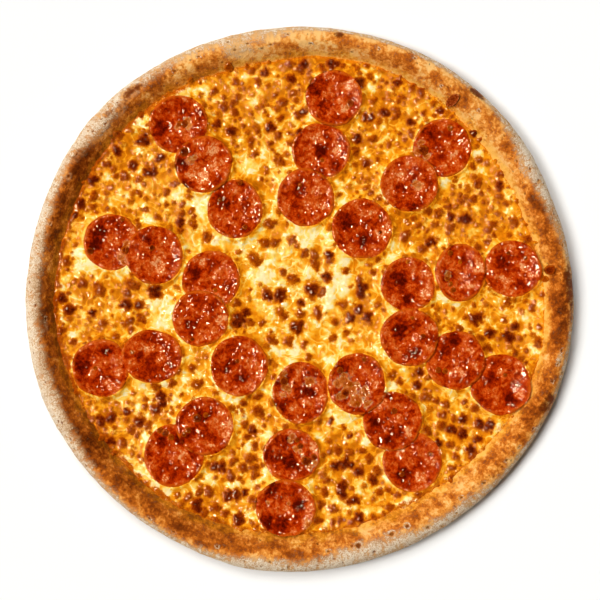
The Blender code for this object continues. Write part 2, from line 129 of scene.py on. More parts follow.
# Cheese grease has soaked this far up the inner slope, which is browned and, as painted shade,
# darkest on the left: every 30 degrees from the right, turning towards the top
SOAK_REACH = 6.0 * MM
SLOPE_BROWNING_AND_SHADE = (-0.18, -0.12, 0.0, 0.08, 0.26, 0.46, 0.52, 0.46, 0.38, 0.30, 0.16, -0.08)
# The rim's fine section starts this far under the cheese, and a plain ring lies further in
SECTION_INSET = 4.5 * MM
SECTION_STEPS = 200
HIDDEN_INSET = 12.0 * MM
# The skin's relief fades out towards the sole over this height
SOLE_FADE = 4.0 * MM


def smooth(share):
    """Ease from 0 to 1 as the share runs from 0 to 1, flat at both ends."""
    share = np.clip(share, 0.0, 1.0)
    return share * share * (3.0 - 2.0 * share)


def turns(steps):
    """Evenly spaced angles, once round."""
    return np.arange(steps) * tau / steps


def ring_value(values, angle):
    """Value at an angle of a closed ring of evenly spaced values, along a smooth curve."""
    values = np.asarray(values, float)
    place = (angle % tau) / tau * len(values)
    start = np.floor(place).astype(int)
    share = place - start
    before, here, after, beyond = (values[(start + step) % len(values)] for step in (-1, 0, 1, 2))
    slope_here = (after - before) / 2.0
    slope_after = (beyond - here) / 2.0
    rise = after - here
    cubic = slope_here + slope_after - 2.0 * rise
    square = 3.0 * rise - 2.0 * slope_here - slope_after
    return ((cubic * share + square) * share + slope_here) * share + here


def rim_lift(angle):
    """How much higher or lower than usual the rim has risen at an angle."""
    return 1.0 + sum(share * np.sin(waves * angle + phase) for waves, share, phase in RIM_WAVES)


def stretched(radius, angle):
    """Real radius of a point of the even profile, stretched to the uneven crust."""
    edge = ring_value(CHEESE_EDGE_RADII, angle)
    outer = ring_value(OUTER_RADII, angle)
    beyond = edge + (outer - edge) * (radius - EDGE_RADIUS) / (OUTER_RADIUS - EDGE_RADIUS)
    return np.where(radius <= EDGE_RADIUS, radius * edge / EDGE_RADIUS, beyond)


def unstretched(radius, angle):
    """Radius on the even profile of a point of the uneven crust."""
    edge = ring_value(CHEESE_EDGE_RADII, angle)
    outer = ring_value(OUTER_RADII, angle)
    beyond = EDGE_RADIUS + (OUTER_RADIUS - EDGE_RADIUS) * (radius - edge) / (outer - edge)
    return np.where(radius <= edge, radius * EDGE_RADIUS / edge, beyond)


def slope_height(radius, angle):
    """Height of the rim's inner slope over a radius of the even profile."""
    rise = smooth((radius - FOOT_RADIUS) / (CREST_RADIUS - FOOT_RADIUS))
    return BASE_THICKNESS + (CREST_HEIGHT - BASE_THICKNESS) * rise * rim_lift(angle)


def lumps(points, size, seed=0.0):
    """Smooth unevenness from about -1 to 1 at each point, with lumps of a size."""
    scaled = points / size + seed
    return np.array([noise.noise(point) for point in scaled])


def on_pizza(column, row):
    """Place on the pizza of a pixel of the photograph."""
    return (column - PHOTO_MIDDLE[0]) * PHOTO_PIXEL, (PHOTO_MIDDLE[1] - row) * PHOTO_PIXEL


def crust_middle():
    """Middle of the crust's box in plan, which is the model's own middle."""
    angles = turns(CAD_FACETS)
    radii = stretched(np.full(CAD_FACETS, OUTER_RADIUS), angles)
    sides = (radii * np.cos(angles), radii * np.sin(angles))
    return [(np.min(side) + np.max(side)) / 2.0 for side in sides]


pizza_middle = crust_middle()


def build_mesh(name, points, faces, fields):
    """Smooth mesh object from points in the pizza's own plan, with fields for its finish."""
    mesh = bpy.data.meshes.new(name)
    points = np.asarray(points, float) - (*pizza_middle, 0.0)
    mesh.from_pydata(points.tolist(), [], faces)
    mesh.validate()
    for field, values in fields.items():
        layer = mesh.attributes.new(field, "FLOAT", "POINT")
        layer.data.foreach_set("value", np.clip(values, 0.0, 1.0).astype(np.float32))
    mesh.shade_smooth()
    piece = bpy.data.objects.new(name, mesh)
    bpy.context.scene.collection.objects.link(piece)
    return piece


def grid_faces(rings, steps, start=0):
    """Faces between closed rings of points, one ring after another."""
    faces = []
    for ring in range(rings - 1):
        first = start + ring * steps
        for step in range(steps):
            after = (step + 1) % steps
            faces.append((first + step, first + steps + step, first + steps + after, first + after))
    return faces


def end_faces(steps, top, first, bottom, last):
    """Faces that close the ring of points from first round top, and from last round bottom."""
    faces = []
    for step in range(steps):
        after = (step + 1) % steps
        faces.append((top, first + step, first + after))
        faces.append((bottom, last + after, last + step))
    return faces


def rim_section():
    """Rim's half section from under the cheese to the sole, evenly spaced: radius and height."""
    slope = np.linspace(EDGE_RADIUS - SECTION_INSET, CREST_RADIUS, SECTION_STEPS)
    climb = smooth((slope - FOOT_RADIUS) / (CREST_RADIUS - FOOT_RADIUS))
    quarter = np.linspace(0.0, pi / 2.0, SECTION_STEPS)[1:]
    radius = np.concatenate([
        slope,
        CREST_RADIUS + (OUTER_RADIUS - CREST_RADIUS) * np.sin(quarter),
        SOLE_RADIUS + (OUTER_RADIUS - SOLE_RADIUS) * np.cos(quarter)])
    height = np.concatenate([
        BASE_THICKNESS + (CREST_HEIGHT - BASE_THICKNESS) * climb,
        WIDEST_HEIGHT + (CREST_HEIGHT - WIDEST_HEIGHT) * np.cos(quarter),
        WIDEST_HEIGHT * (1.0 - np.sin(quarter))])
    run = np.concatenate([[0.0], np.cumsum(np.hypot(np.diff(radius), np.diff(height)))])
    even = np.linspace(0.0, run[-1], int(run[-1] / RIM_STEP) + 1)
    return np.interp(even, run, radius), np.interp(even, run, height), even


def patch(around, across, reach_around, reach_across, grain):
    """Soft uneven patch: 1 in its middle, 0 outside."""
    distance = np.hypot(around / reach_around, across / reach_across) + 0.6 * grain
    return 1.0 - smooth((distance - 0.45) / 0.9)


def ring_points(ring_radius, level):
    """Closed ring of points at a radius of the even profile and at a height."""
    angle = turns(RIM_STEPS_ROUND)
    radius = stretched(np.full(RIM_STEPS_ROUND, ring_radius), angle)
    return np.stack([radius * np.cos(angle), radius * np.sin(angle), np.full_like(angle, level)], axis=-1)


def pit_places(section_radius, section_height, run):
    """Every pit's angle, place along the section, radius and strength."""
    draw = Random(PIT_SEED)
    crest = int(np.argmax(section_height))
    widest = int(np.argmax(section_radius))
    pits = []
    for degrees, pixel, size in PITS:
        at = radians(degrees)
        even = float(unstretched(np.array(pixel * PHOTO_PIXEL), np.array(at)))
        first, last = (0, crest) if even < CREST_RADIUS else (crest, widest)
        nearest = first + int(np.argmin(np.abs(section_radius[first:last + 1] - even)))
        pits.append((at, run[nearest], size * PHOTO_PIXEL, 1.0))
    for _ in range(SMALL_PITS):
        share = draw.uniform(*SMALL_PIT_REACH)
        at = draw.uniform(0.0, tau)
        size = draw.uniform(*SMALL_PIT_RADII)
        pits.append((at, share * run[-1], size, SMALL_PIT_STRENGTH))
    return pits


def rim_shades(turn, even_radius, pixels, side, grains, streaks):
    """How floury, browned with painted shade, scorched and soaked with grease each point of the rim is."""
    reach = ring_value(FLOUR_REACH, turn)
    flour = smooth((pixels - reach + FLOUR_LEAD + 3.0 * grains[1] + 1.5 * streaks) / FLOUR_FADE)
    flour *= ring_value(FLOUR_AMOUNT, turn)
    flour = np.maximum(flour, 0.75 * smooth((side - 0.5) / 0.4)) * (1.0 + 0.5 * streaks)
    crest = np.exp(-((even_radius - CREST_RADIUS + CREST_INSET) / CREST_WIDTH) ** 2)
    patchy = 0.12 * grains[1] + 0.14 * grains[0] + 0.12 * streaks
    # Painted shade: both browning tables are raised on the left, where the rim lies in shade
    brown_and_shade = ring_value(CREST_BROWNING_AND_SHADE, turn) * crest + crest * patchy
    soak = 1.0 - smooth((even_radius - EDGE_RADIUS) / SOAK_REACH + 0.5 * grains[1])
    brown_and_shade += ring_value(SLOPE_BROWNING_AND_SHADE, turn) * soak
    burnt = np.zeros_like(flour)
    degrees_round = np.degrees(turn)
    uneven = 0.7 * grains[1] + 0.45 * streaks
    for rows, field in ((SCORCHED, burnt), (FLOURED, flour)):
        for degrees, pixel, half_length, half_width, strength in rows:
            across = (degrees_round - degrees + 180.0) % 360.0 - 180.0
            spot = patch(across, pixels - pixel, half_length, half_width, uneven) * strength
            np.maximum(field, spot, out=field)
    return flour, brown_and_shade, burnt, soak


def press_pits(pits, turn, radius, run, grain, above_sole, relief):
    """Press the pits into the relief: painted shade by how deep in a pit each point lies, and lip flour."""
    ring_angle = tau / RIM_STEPS_ROUND
    lip_flour = np.zeros_like(relief)
    pit_shade = np.zeros_like(relief)
    for at, pit_run, size, strength in pits:
        reach_steps = int(2.0 * size / (OUTER_RADIUS * ring_angle)) + 2
        columns = (int(at / ring_angle) + np.arange(-reach_steps, reach_steps + 1)) % RIM_STEPS_ROUND
        rows = np.nonzero(np.abs(run - pit_run) < 2.0 * size + RIM_STEP)[0]
        window = np.ix_(rows, columns)
        sideways = ((turn[window] - at + pi) % tau - pi) * radius[window]
        lengthways = run[rows][:, None] - pit_run
        distance = np.hypot(sideways, lengthways * 1.15) / size + 0.25 * grain[window]
        dip = np.clip(1.0 - distance ** 2, 0.0, 1.0)
        lip = np.exp(-((distance - PIT_LIP_PLACE) / PIT_LIP_WIDTH) ** 2)
        lip = lip * (strength > SMALL_PIT_STRENGTH)
        relief[window] += size * strength * (PIT_LIP * lip * above_sole[window] - PIT_DEPTH * dip)
        pit_shade[window] = np.maximum(pit_shade[window], np.clip(1.3 * dip - 0.3, 0.0, 1.0) * strength)
        lip_flour[window] = np.maximum(lip_flour[window], 0.9 * lip * (1.0 + grain[window]))
    return pit_shade, lip_flour


def crust_piece():
    """Fine crust over the coarse one: rim with lumps, pits and patches, and the underside."""
    section_radius, section_height, run = rim_section()
    turn, even_radius = np.meshgrid(turns(RIM_STEPS_ROUND), section_radius)
    height = np.repeat(section_height[:, None], RIM_STEPS_ROUND, axis=1)
    lifted = BASE_THICKNESS + (height - BASE_THICKNESS) * rim_lift(turn)
    height = np.where(height > BASE_THICKNESS, lifted, height)
    radius = stretched(even_radius, turn)
    points = np.stack([radius * np.cos(turn), radius * np.sin(turn), height], axis=-1)

    along = np.gradient(points, axis=0)
    around = np.roll(points, -1, axis=1) - np.roll(points, 1, axis=1)
    normal = np.cross(along, around)
    normal /= np.linalg.norm(normal, axis=-1, keepdims=True)
    normal *= np.sign(normal[0, 0, 2])
    flat = points.reshape(-1, 3)
    grains = [lumps(flat, size, 7.3 * order).reshape(turn.shape)
              for order, (size, _) in enumerate(RIM_LUMPS)]
    streak_run = np.repeat(run[:, None] / STREAK_LENGTH, RIM_STEPS_ROUND, axis=1)
    streak_spots = np.stack([OUTER_RADIUS * np.cos(turn), OUTER_RADIUS * np.sin(turn), streak_run],
                            axis=-1)
    streaks = lumps(streak_spots.reshape(-1, 3), STREAK_SIZE, 2.6).reshape(turn.shape)
    relief = sum(grain * depth for grain, (_, depth) in zip(grains, RIM_LUMPS)) - SKIN_DEPTH
    above_sole = smooth(height / SOLE_FADE)

    crest_run = run[np.argmax(section_height)]
    beyond_crest = smooth((even_radius - CREST_RADIUS) / (OUTER_RADIUS - CREST_RADIUS))
    side = np.where(run[:, None] > crest_run, beyond_crest, 0.0)
    flour, brown_and_shade, burnt, soak = rim_shades(turn, even_radius, radius / PHOTO_PIXEL, side, grains,
                                           streaks)
    pits = pit_places(section_radius, section_height, run)
    pit_shade, lip_flour = press_pits(pits, turn, radius, run, grains[2], above_sole, relief)
    flour = np.maximum(flour * (1.0 - 0.8 * pit_shade), lip_flour)
    relief = np.minimum(relief, -SKIN_TOP) * above_sole

    points = (points + normal * relief[..., None]).reshape(-1, 3)
    points[:, 2] = np.maximum(points[:, 2], 0.0)
    inner = ring_points(EDGE_RADIUS - HIDDEN_INSET, BASE_THICKNESS)
    under = [ring_points(ring_radius, 0.0) for ring_radius in UNDERSIDE_RADII]
    all_points = np.concatenate([[[0.0, 0.0, BASE_THICKNESS]], inner, points, *under,
                                 [[0.0, 0.0, 0.0]]])
    ring_count = 1 + len(run) + len(under)
    last = 1 + (ring_count - 1) * RIM_STEPS_ROUND
    faces = grid_faces(ring_count, RIM_STEPS_ROUND, start=1)
    faces.extend(end_faces(RIM_STEPS_ROUND, 0, 1, len(all_points) - 1, last))
    before, behind = 1 + RIM_STEPS_ROUND, len(under) * RIM_STEPS_ROUND + 1
    fields = {}
    for field, values, below in (("flour", flour, 0.6), ("brown_and_shade", brown_and_shade, 0.5), ("burnt", burnt, 0.0),
                                 ("pit_shade", pit_shade, 0.0), ("soak", soak, 0.0)):
        fields[field] = np.concatenate([np.zeros(before), values.ravel(), np.full(behind, below)])
    return build_mesh("dough_crust", all_points, faces, fields)


def tone(code):
    """Colour of a paint code such as #C8782C, as light rather than as screen values."""
    light = []
    for start in (1, 3, 5):
        value = int(code[start:start + 2], 16) / 255.0
        light.append(value / 12.92 if value <= 0.04045 else ((value + 0.055) / 1.055) ** 2.4)
    return (*light, 1.0)


class Finish:
    """A material made from a surface's own fields and from grain at real sizes."""

    def __init__(self, name, **constants):
        self.material = bpy.data.materials.new(name)
        self.material.use_nodes = True
        self.tree = self.material.node_tree
        self.shader = self.tree.nodes["Principled BSDF"]
        for socket, value in constants.items():
            self.shader.inputs[socket.replace("_", " ")].default_value = value
        self.place = self.tree.nodes.new("ShaderNodeTexCoord").outputs["Object"]

    def feed(self, socket, value):
        """Link a node's output to a socket, or set the socket to a plain value."""
        if isinstance(value, bpy.types.NodeSocket):
            self.tree.links.new(value, socket)
        else:
            socket.default_value = value

    def field(self, name):
        """One of the fields stored in the surface's points."""
        node = self.tree.nodes.new("ShaderNodeAttribute")
        node.attribute_name = name
        return node.outputs["Fac"]

    def grain(self, size, detail=3.0, roughness=0.55, distortion=0.0):
        """Soft random grain of a real size, from 0 to 1."""
        node = self.tree.nodes.new("ShaderNodeTexNoise")
        self.feed(node.inputs["Vector"], self.place)
        node.inputs["Scale"].default_value = 1.0 / size
        node.inputs["Detail"].default_value = detail
        node.inputs["Roughness"].default_value = roughness
        node.inputs["Distortion"].default_value = distortion
        return node.outputs["Fac"]

    def cells(self, size):
        """Rounded cells of a real size, 0 in the middle of each."""
        node = self.tree.nodes.new("ShaderNodeTexVoronoi")
        self.feed(node.inputs["Vector"], self.place)
        node.inputs["Scale"].default_value = 1.0 / size
        return node.outputs["Distance"]

    def sum(self, *values):
        total = values[0]
        for value in values[1:]:
            total = self.reckon("ADD", total, value)
        return total

    def reckon(self, operation, first, second):
        node = self.tree.nodes.new("ShaderNodeMath")
        node.operation = operation
        self.feed(node.inputs[0], first)
        self.feed(node.inputs[1], second)
        return node.outputs["Value"]

    def times(self, first, second):
        return self.reckon("MULTIPLY", first, second)

    def span(self, value, low, high, start=0.0, end=1.0):
        """Ease a value's stretch from low to high into start to end."""
        node = self.tree.nodes.new("ShaderNodeMapRange")
        node.interpolation_type = "SMOOTHSTEP"
        for socket, number in zip(("Value", "From Min", "From Max", "To Min", "To Max"),
                                  (value, low, high, start, end)):
            self.feed(node.inputs[socket], number)
        return node.outputs["Result"]

    def sway(self, value, amount):
        """Let a grain push a value down or up by an amount."""
        return self.span(value, 0.3, 0.7, -amount, amount)

    def shades(self, value, *stops):
        """Colour along a row of (place, paint code)."""
        node = self.tree.nodes.new("ShaderNodeValToRGB")
        elements = node.color_ramp.elements
        while len(elements) < len(stops):
            elements.new(0.5)
        for element, (place, code) in zip(elements, stops):
            element.position = place
            element.color = tone(code)
        self.feed(node.inputs["Fac"], value)
        return node.outputs["Color"]

    def cover(self, share, under, over):
        """One colour laid over another where the share is 1."""
        node = self.tree.nodes.new("ShaderNodeMix")
        node.data_type = "RGBA"
        self.feed(node.inputs["Factor"], share)
        self.feed(node.inputs[6], under)
        self.feed(node.inputs[7], over if isinstance(over, bpy.types.NodeSocket) else tone(over))
        return node.outputs[2]

    def bump(self, height, depth):
        """Fine relief of a depth."""
        node = self.tree.nodes.new("ShaderNodeBump")
        node.inputs["Distance"].default_value = depth
        self.feed(node.inputs["Height"], height)
        return node.outputs["Normal"]

    def set(self, **links):
        """Feed the shader's named sockets and return the finished material."""
        for socket, value in links.items():
            self.feed(self.shader.inputs[socket.replace("_", " ")], value)
        return self.material


def crust_finish():
    """Baked dough: golden to brown skin, painted shade on the left, scorched bubbles, dusted flour."""
    finish = Finish("baked_dough", Specular_IOR_Level=0.05)
    grit = finish.grain(0.8 * MM, detail=3.0, roughness=0.7)
    fine = finish.grain(1.8 * MM, detail=3.0, roughness=0.6)
    middling = finish.grain(5.0 * MM, detail=3.0, roughness=0.6)
    broad = finish.grain(16.0 * MM, detail=3.0)
    # The brown field carries painted shade on the left as well as real browning
    bake_and_shade = finish.sum(finish.field("brown_and_shade"),
                      finish.sway(middling, 0.20),
                      finish.sway(broad, 0.18),
                      finish.sway(fine, 0.12))
    skin = finish.shades(bake_and_shade, (0.0, "#FFC678"), (0.18, "#F4A044"), (0.42, "#CC6C1C"),
                         (0.68, "#96440C"), (1.0, "#582204"))
    soaked = finish.shades(bake_and_shade, (0.0, "#FFBE4C"), (0.3, "#E8921C"), (0.8, "#98500A"))
    skin = finish.cover(finish.span(finish.field("soak"), 0.0, 1.0, 0.0, 0.75), skin, soaked)
    skin = finish.cover(finish.span(finish.field("flour"), 0.05, 0.7, 0.0, 0.55), skin, "#CE8E54")
    dusted = finish.sum(finish.field("flour"),
                        finish.span(grit, 0.35, 0.65, -0.14, 0.14),
                        finish.span(fine, 0.35, 0.65, -0.14, 0.14),
                        finish.sway(middling, 0.27),
                        finish.times(finish.field("burnt"), -0.9), -0.02)
    flour = finish.shades(finish.sum(grit, finish.span(bake_and_shade, 0.2, 1.0, 0.0, -0.30),
                                     finish.span(dusted, 0.4, 1.2, -0.12, 0.25)),
                          (0.12, "#9C7048"), (0.45, "#D2AC84"), (0.82, "#FCECD2"))
    skin = finish.cover(finish.span(dusted, 0.14, 0.95, 0.0, 0.95), skin, flour)
    scorch = finish.sum(finish.field("burnt"), finish.sway(fine, 0.15),
                        finish.sway(middling, 0.2))
    skin = finish.cover(finish.span(scorch, 0.15, 0.9, 0.0, 0.95), skin,
                        finish.shades(fine, (0.3, "#4A1A04"), (0.7, "#863A0C")))
    # Painted shade darkens the inside of the pits
    skin = finish.cover(finish.span(finish.field("pit_shade"), 0.1, 0.7, 0.0, 0.8), skin, "#642E0A")
    rough = finish.span(dusted, 0.2, 0.8, 0.5, 0.85)
    skin_bump = finish.bump(finish.sum(grit, fine, middling), 0.6 * MM)
    return finish.set(Base_Color=skin, Roughness=rough, Normal=skin_bump)


crust = crust_piece()
crust.data.materials.append(crust_finish())
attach(crust, "root")
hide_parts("crust")

# The slices' places
# Thirty rounds of pepperoni, cut from one stick, are dropped on the cheese before baking. Each
# lies flat or over the edge of another, and in the heat its rim curls up where nothing holds it.
CLEARANCE = 0.3 * MM
SLICE_THICKNESS = 1.6 * MM
SLICES = (
    (-78.8, 112.5, 18.6, 18.6, 0), (-62.9, 86.9, 18.2, 18.2, 1), (-42.9, 58.4, 17.4, 19.0, 0),
    (-121.5, 37.3, 18.0, 18.0, 0), (-94.2, 28.9, 18.5, 18.5, 1), (-58.1, 13.2, 18.5, 18.5, 0),
    (-64.9, -11.4, 17.9, 17.9, 1), (20.3, 129.3, 17.9, 17.9, 1), (12.1, 95.7, 18.5, 17.6, 0),
    (2.4, 65.7, 18.3, 18.3, 1), (38.3, 45.8, 19.2, 19.2, 0), (89.7, 97.3, 18.5, 18.5, 0),
    (68.7, 74.6, 18.2, 18.2, 1), (67.8, 10.3, 17.3, 17.5, 0), (101.0, 17.8, 16.0, 18.5, 1),
    (134.2, 20.2, 18.2, 18.2, 0), (68.7, -23.6, 18.5, 18.5, 2), (98.0, -38.3, 18.8, 18.8, 1),
    (126.8, -53.5, 19.2, 19.2, 0), (-0.8, -58.9, 17.8, 19.6, 0), (35.1, -53.3, 18.1, 19.8, 2),
    (57.6, -77.0, 18.8, 18.8, 1), (70.5, -103.1, 18.9, 18.9, 0), (-128.3, -43.1, 18.2, 18.2, 0),
    (-95.6, -35.7, 19.1, 17.0, 1), (-40.2, -41.8, 18.3, 19.0, 0), (-62.1, -80.3, 18.5, 18.5, 1),
    (-81.8, -98.9, 18.9, 20.2, 0), (-6.8, -98.9, 18.0, 16.8, 0), (-10.5, -132.5, 19.2, 18.0, 1))
SLICE_WOBBLE = 0.008
SLICE_WOBBLE_ORDERS = (2, 3, 5)
SLICE_CUP = (0.9 * MM, 1.9 * MM)
HELD_DOWN = 6.0 * MM
DRAPE_MARGIN = 1.0 * MM
DRAPE_FADE = 17.0 * MM
CHEESE_LEVEL = 8.8 * MM
CHEESE_WAVE = 0.3 * MM
CHEESE_WAVE_X = 19.0 * MM
CHEESE_WAVE_Y = 23.0 * MM
CHEESE_WAVE_PHASES = (1.1, 0.4)
SLOPE_CLEARANCE = 0.45 * MM
EDGE_RISE_WIDTH = 12.0 * MM
SLICE_SINK = 0.8 * MM
BEDDING_RIM = 0.7 * MM
BEDDING_WIDTH = 2.6 * MM


def even_radius_at(x, y):
    """Radius on the even profile of a place on the pizza."""
    return unstretched(np.hypot(x, y), np.arctan2(y, x))


def cheese_height(x, y):
    """Height of the open cheese over (x, y), or of the bare rim beyond its edge."""
    radius = even_radius_at(x, y)
    wave = (np.sin(x / CHEESE_WAVE_X + CHEESE_WAVE_PHASES[0])
            * np.sin(y / CHEESE_WAVE_Y + CHEESE_WAVE_PHASES[1]))
    inside = CHEESE_LEVEL + CHEESE_WAVE * wave
    edge = slope_height(np.maximum(radius, EDGE_RADIUS), np.arctan2(y, x)) + SLOPE_CLEARANCE
    return inside + (edge - inside) * smooth((radius - EDGE_RADIUS) / EDGE_RISE_WIDTH + 1.0)


class Slice:
    """One round of pepperoni: its outline, and how its underside lies on what is below."""

    def __init__(self, number, x, y, half_width, half_depth, layer):
        draw = Random(number)
        self.number = number
        self.x = x * MM
        self.y = y * MM
        self.half_width = half_width * MM
        self.half_depth = half_depth * MM
        self.layer = layer
        self.phases = [draw.uniform(0.0, tau) for _ in SLICE_WOBBLE_ORDERS]
        self.cup = draw.uniform(*SLICE_CUP)
        self.below = []
        self.above = []

    def reach(self, angle):
        """Distance from the middle to the edge in one direction."""
        ellipse = self.half_width * self.half_depth / np.hypot(
            self.half_depth * np.cos(angle), self.half_width * np.sin(angle))
        waves = sum(np.sin(order * angle + phase)
                    for order, phase in zip(SLICE_WOBBLE_ORDERS, self.phases))
        return ellipse * (1.0 + SLICE_WOBBLE * waves)

    def outside(self, x, y):
        """Distance of (x, y) from the edge, below zero inside the slice."""
        across, along = x - self.x, y - self.y
        return np.hypot(across, along) - self.reach(np.arctan2(along, across))

    def underside(self, x, y):
        """Height of the underside over (x, y), draped over the slices below."""
        radius = np.hypot(x - self.x, y - self.y)
        share = np.minimum(radius / (radius - self.outside(x, y)), 1.0)
        curl = self.cup * share ** 3
        for upper in self.above:
            curl = curl * smooth(upper.outside(x, y) / HELD_DOWN)
        height = bed_height(x, y) + CLEARANCE + curl
        for lower in self.below:
            drape = 1.0 - smooth((lower.outside(x, y) - DRAPE_MARGIN) / DRAPE_FADE)
            resting = lower.underside(x, y) + SLICE_THICKNESS + CLEARANCE
            height = np.maximum(height, height + (resting - height) * drape)
        return height


slices = [Slice(number, *row) for number, row in enumerate(SLICES, start=1)]
for upper in slices:
    for lower in slices:
        near = np.hypot(upper.x - lower.x, upper.y - lower.y)
        reach = max(upper.half_width, upper.half_depth) + max(lower.half_width, lower.half_depth)
        if lower.layer < upper.layer and near < reach:
            upper.below.append(lower)
            lower.above.append(upper)


def nearest_slice(x, y):
    """Distance from (x, y) to the nearest slice's edge, below zero on a slice."""
    nearest = np.full(np.shape(x), 1.0)
    for piece in slices:
        nearest = np.minimum(nearest, piece.outside(x, y))
    return nearest


def bed_height(x, y):
    """Height of the cheese over (x, y), pressed down under and beside the slices."""
    cover = 1.0 - smooth((nearest_slice(x, y) - BEDDING_RIM) / BEDDING_WIDTH)
    inner = 1.0 - smooth((even_radius_at(x, y) - EDGE_RADIUS) / EDGE_RISE_WIDTH + 1.0)
    return cheese_height(x, y) - SLICE_SINK * cover * inner


# The melted cheese
# Shredded mozzarella melts into one blanket over the dough. It puffs into blisters whose tops
# brown, grease from the slices stains it orange, and it stays pale where it pooled.
# Blisters, in photo pixels: column, row, radius
DARK_BLISTERS = (
    (117, 151, 5.5), (144, 140, 6.5), (161, 157, 5), (133, 165, 5), (148, 172, 4.8), (154, 173, 4.6),
    (92, 181, 5), (81, 204, 5.5), (75, 214, 3.5), (217, 124, 5.5), (231, 131, 6), (266, 73, 4.5),
    (292, 79, 5.5), (303, 112, 4), (270, 126, 5), (300, 132, 3.5), (304, 64, 5.5), (331, 63, 6),
    (359, 82, 6), (365, 117, 4.5), (371, 118, 4.5), (384, 112, 6), (357, 139, 6), (366, 163, 5),
    (397, 83, 4), (440, 111, 4), (410, 122, 4.5), (474, 133, 4), (499, 186, 4.5), (451, 217, 4.5),
    (466, 219, 6.5), (431, 241, 5), (476, 318, 7), (490, 333, 5), (515, 327, 5), (509, 337, 6),
    (419, 372, 5), (418, 385, 4.5), (330, 255, 4), (328, 277, 4.5), (361, 287, 5.5), (361, 295, 5),
    (358, 310, 5.5), (368, 317, 5), (350, 318, 5), (313, 290, 7.5), (268, 295, 6), (280, 296, 6.5),
    (300, 303, 4), (245, 312, 5), (238, 321, 7), (298, 327, 6.5), (61, 298, 5.5), (69, 310, 6.5),
    (154, 291, 6.5), (126, 304, 6), (139, 305, 5), (93, 313, 4), (180, 223, 4.5), (101, 420, 5.5),
    (112, 417, 6), (127, 412, 4), (139, 422, 6.5), (110, 441, 4.5), (160, 396, 5.5), (163, 404, 4.5),
    (156, 410, 5.5), (214, 467, 5), (221, 467, 5), (196, 505, 7), (239, 520, 6), (228, 497, 5.5),
    (236, 495, 5.5), (244, 493, 4), (252, 429, 5), (335, 466, 5), (345, 464, 6), (352, 465, 4),
    (343, 486, 5.5), (343, 494, 5.5), (359, 472, 5.5), (373, 479, 5.5), (355, 500, 5), (350, 502, 3.5),
    (359, 517, 5), (350, 436, 3), (464, 419, 5), (452, 429, 5), (462, 434, 6), (480, 425, 5.5),
    (488, 426, 5.5), (478, 439, 5), (439, 444, 4.5), (471, 450, 5), (363, 413, 3), (330, 422, 3))
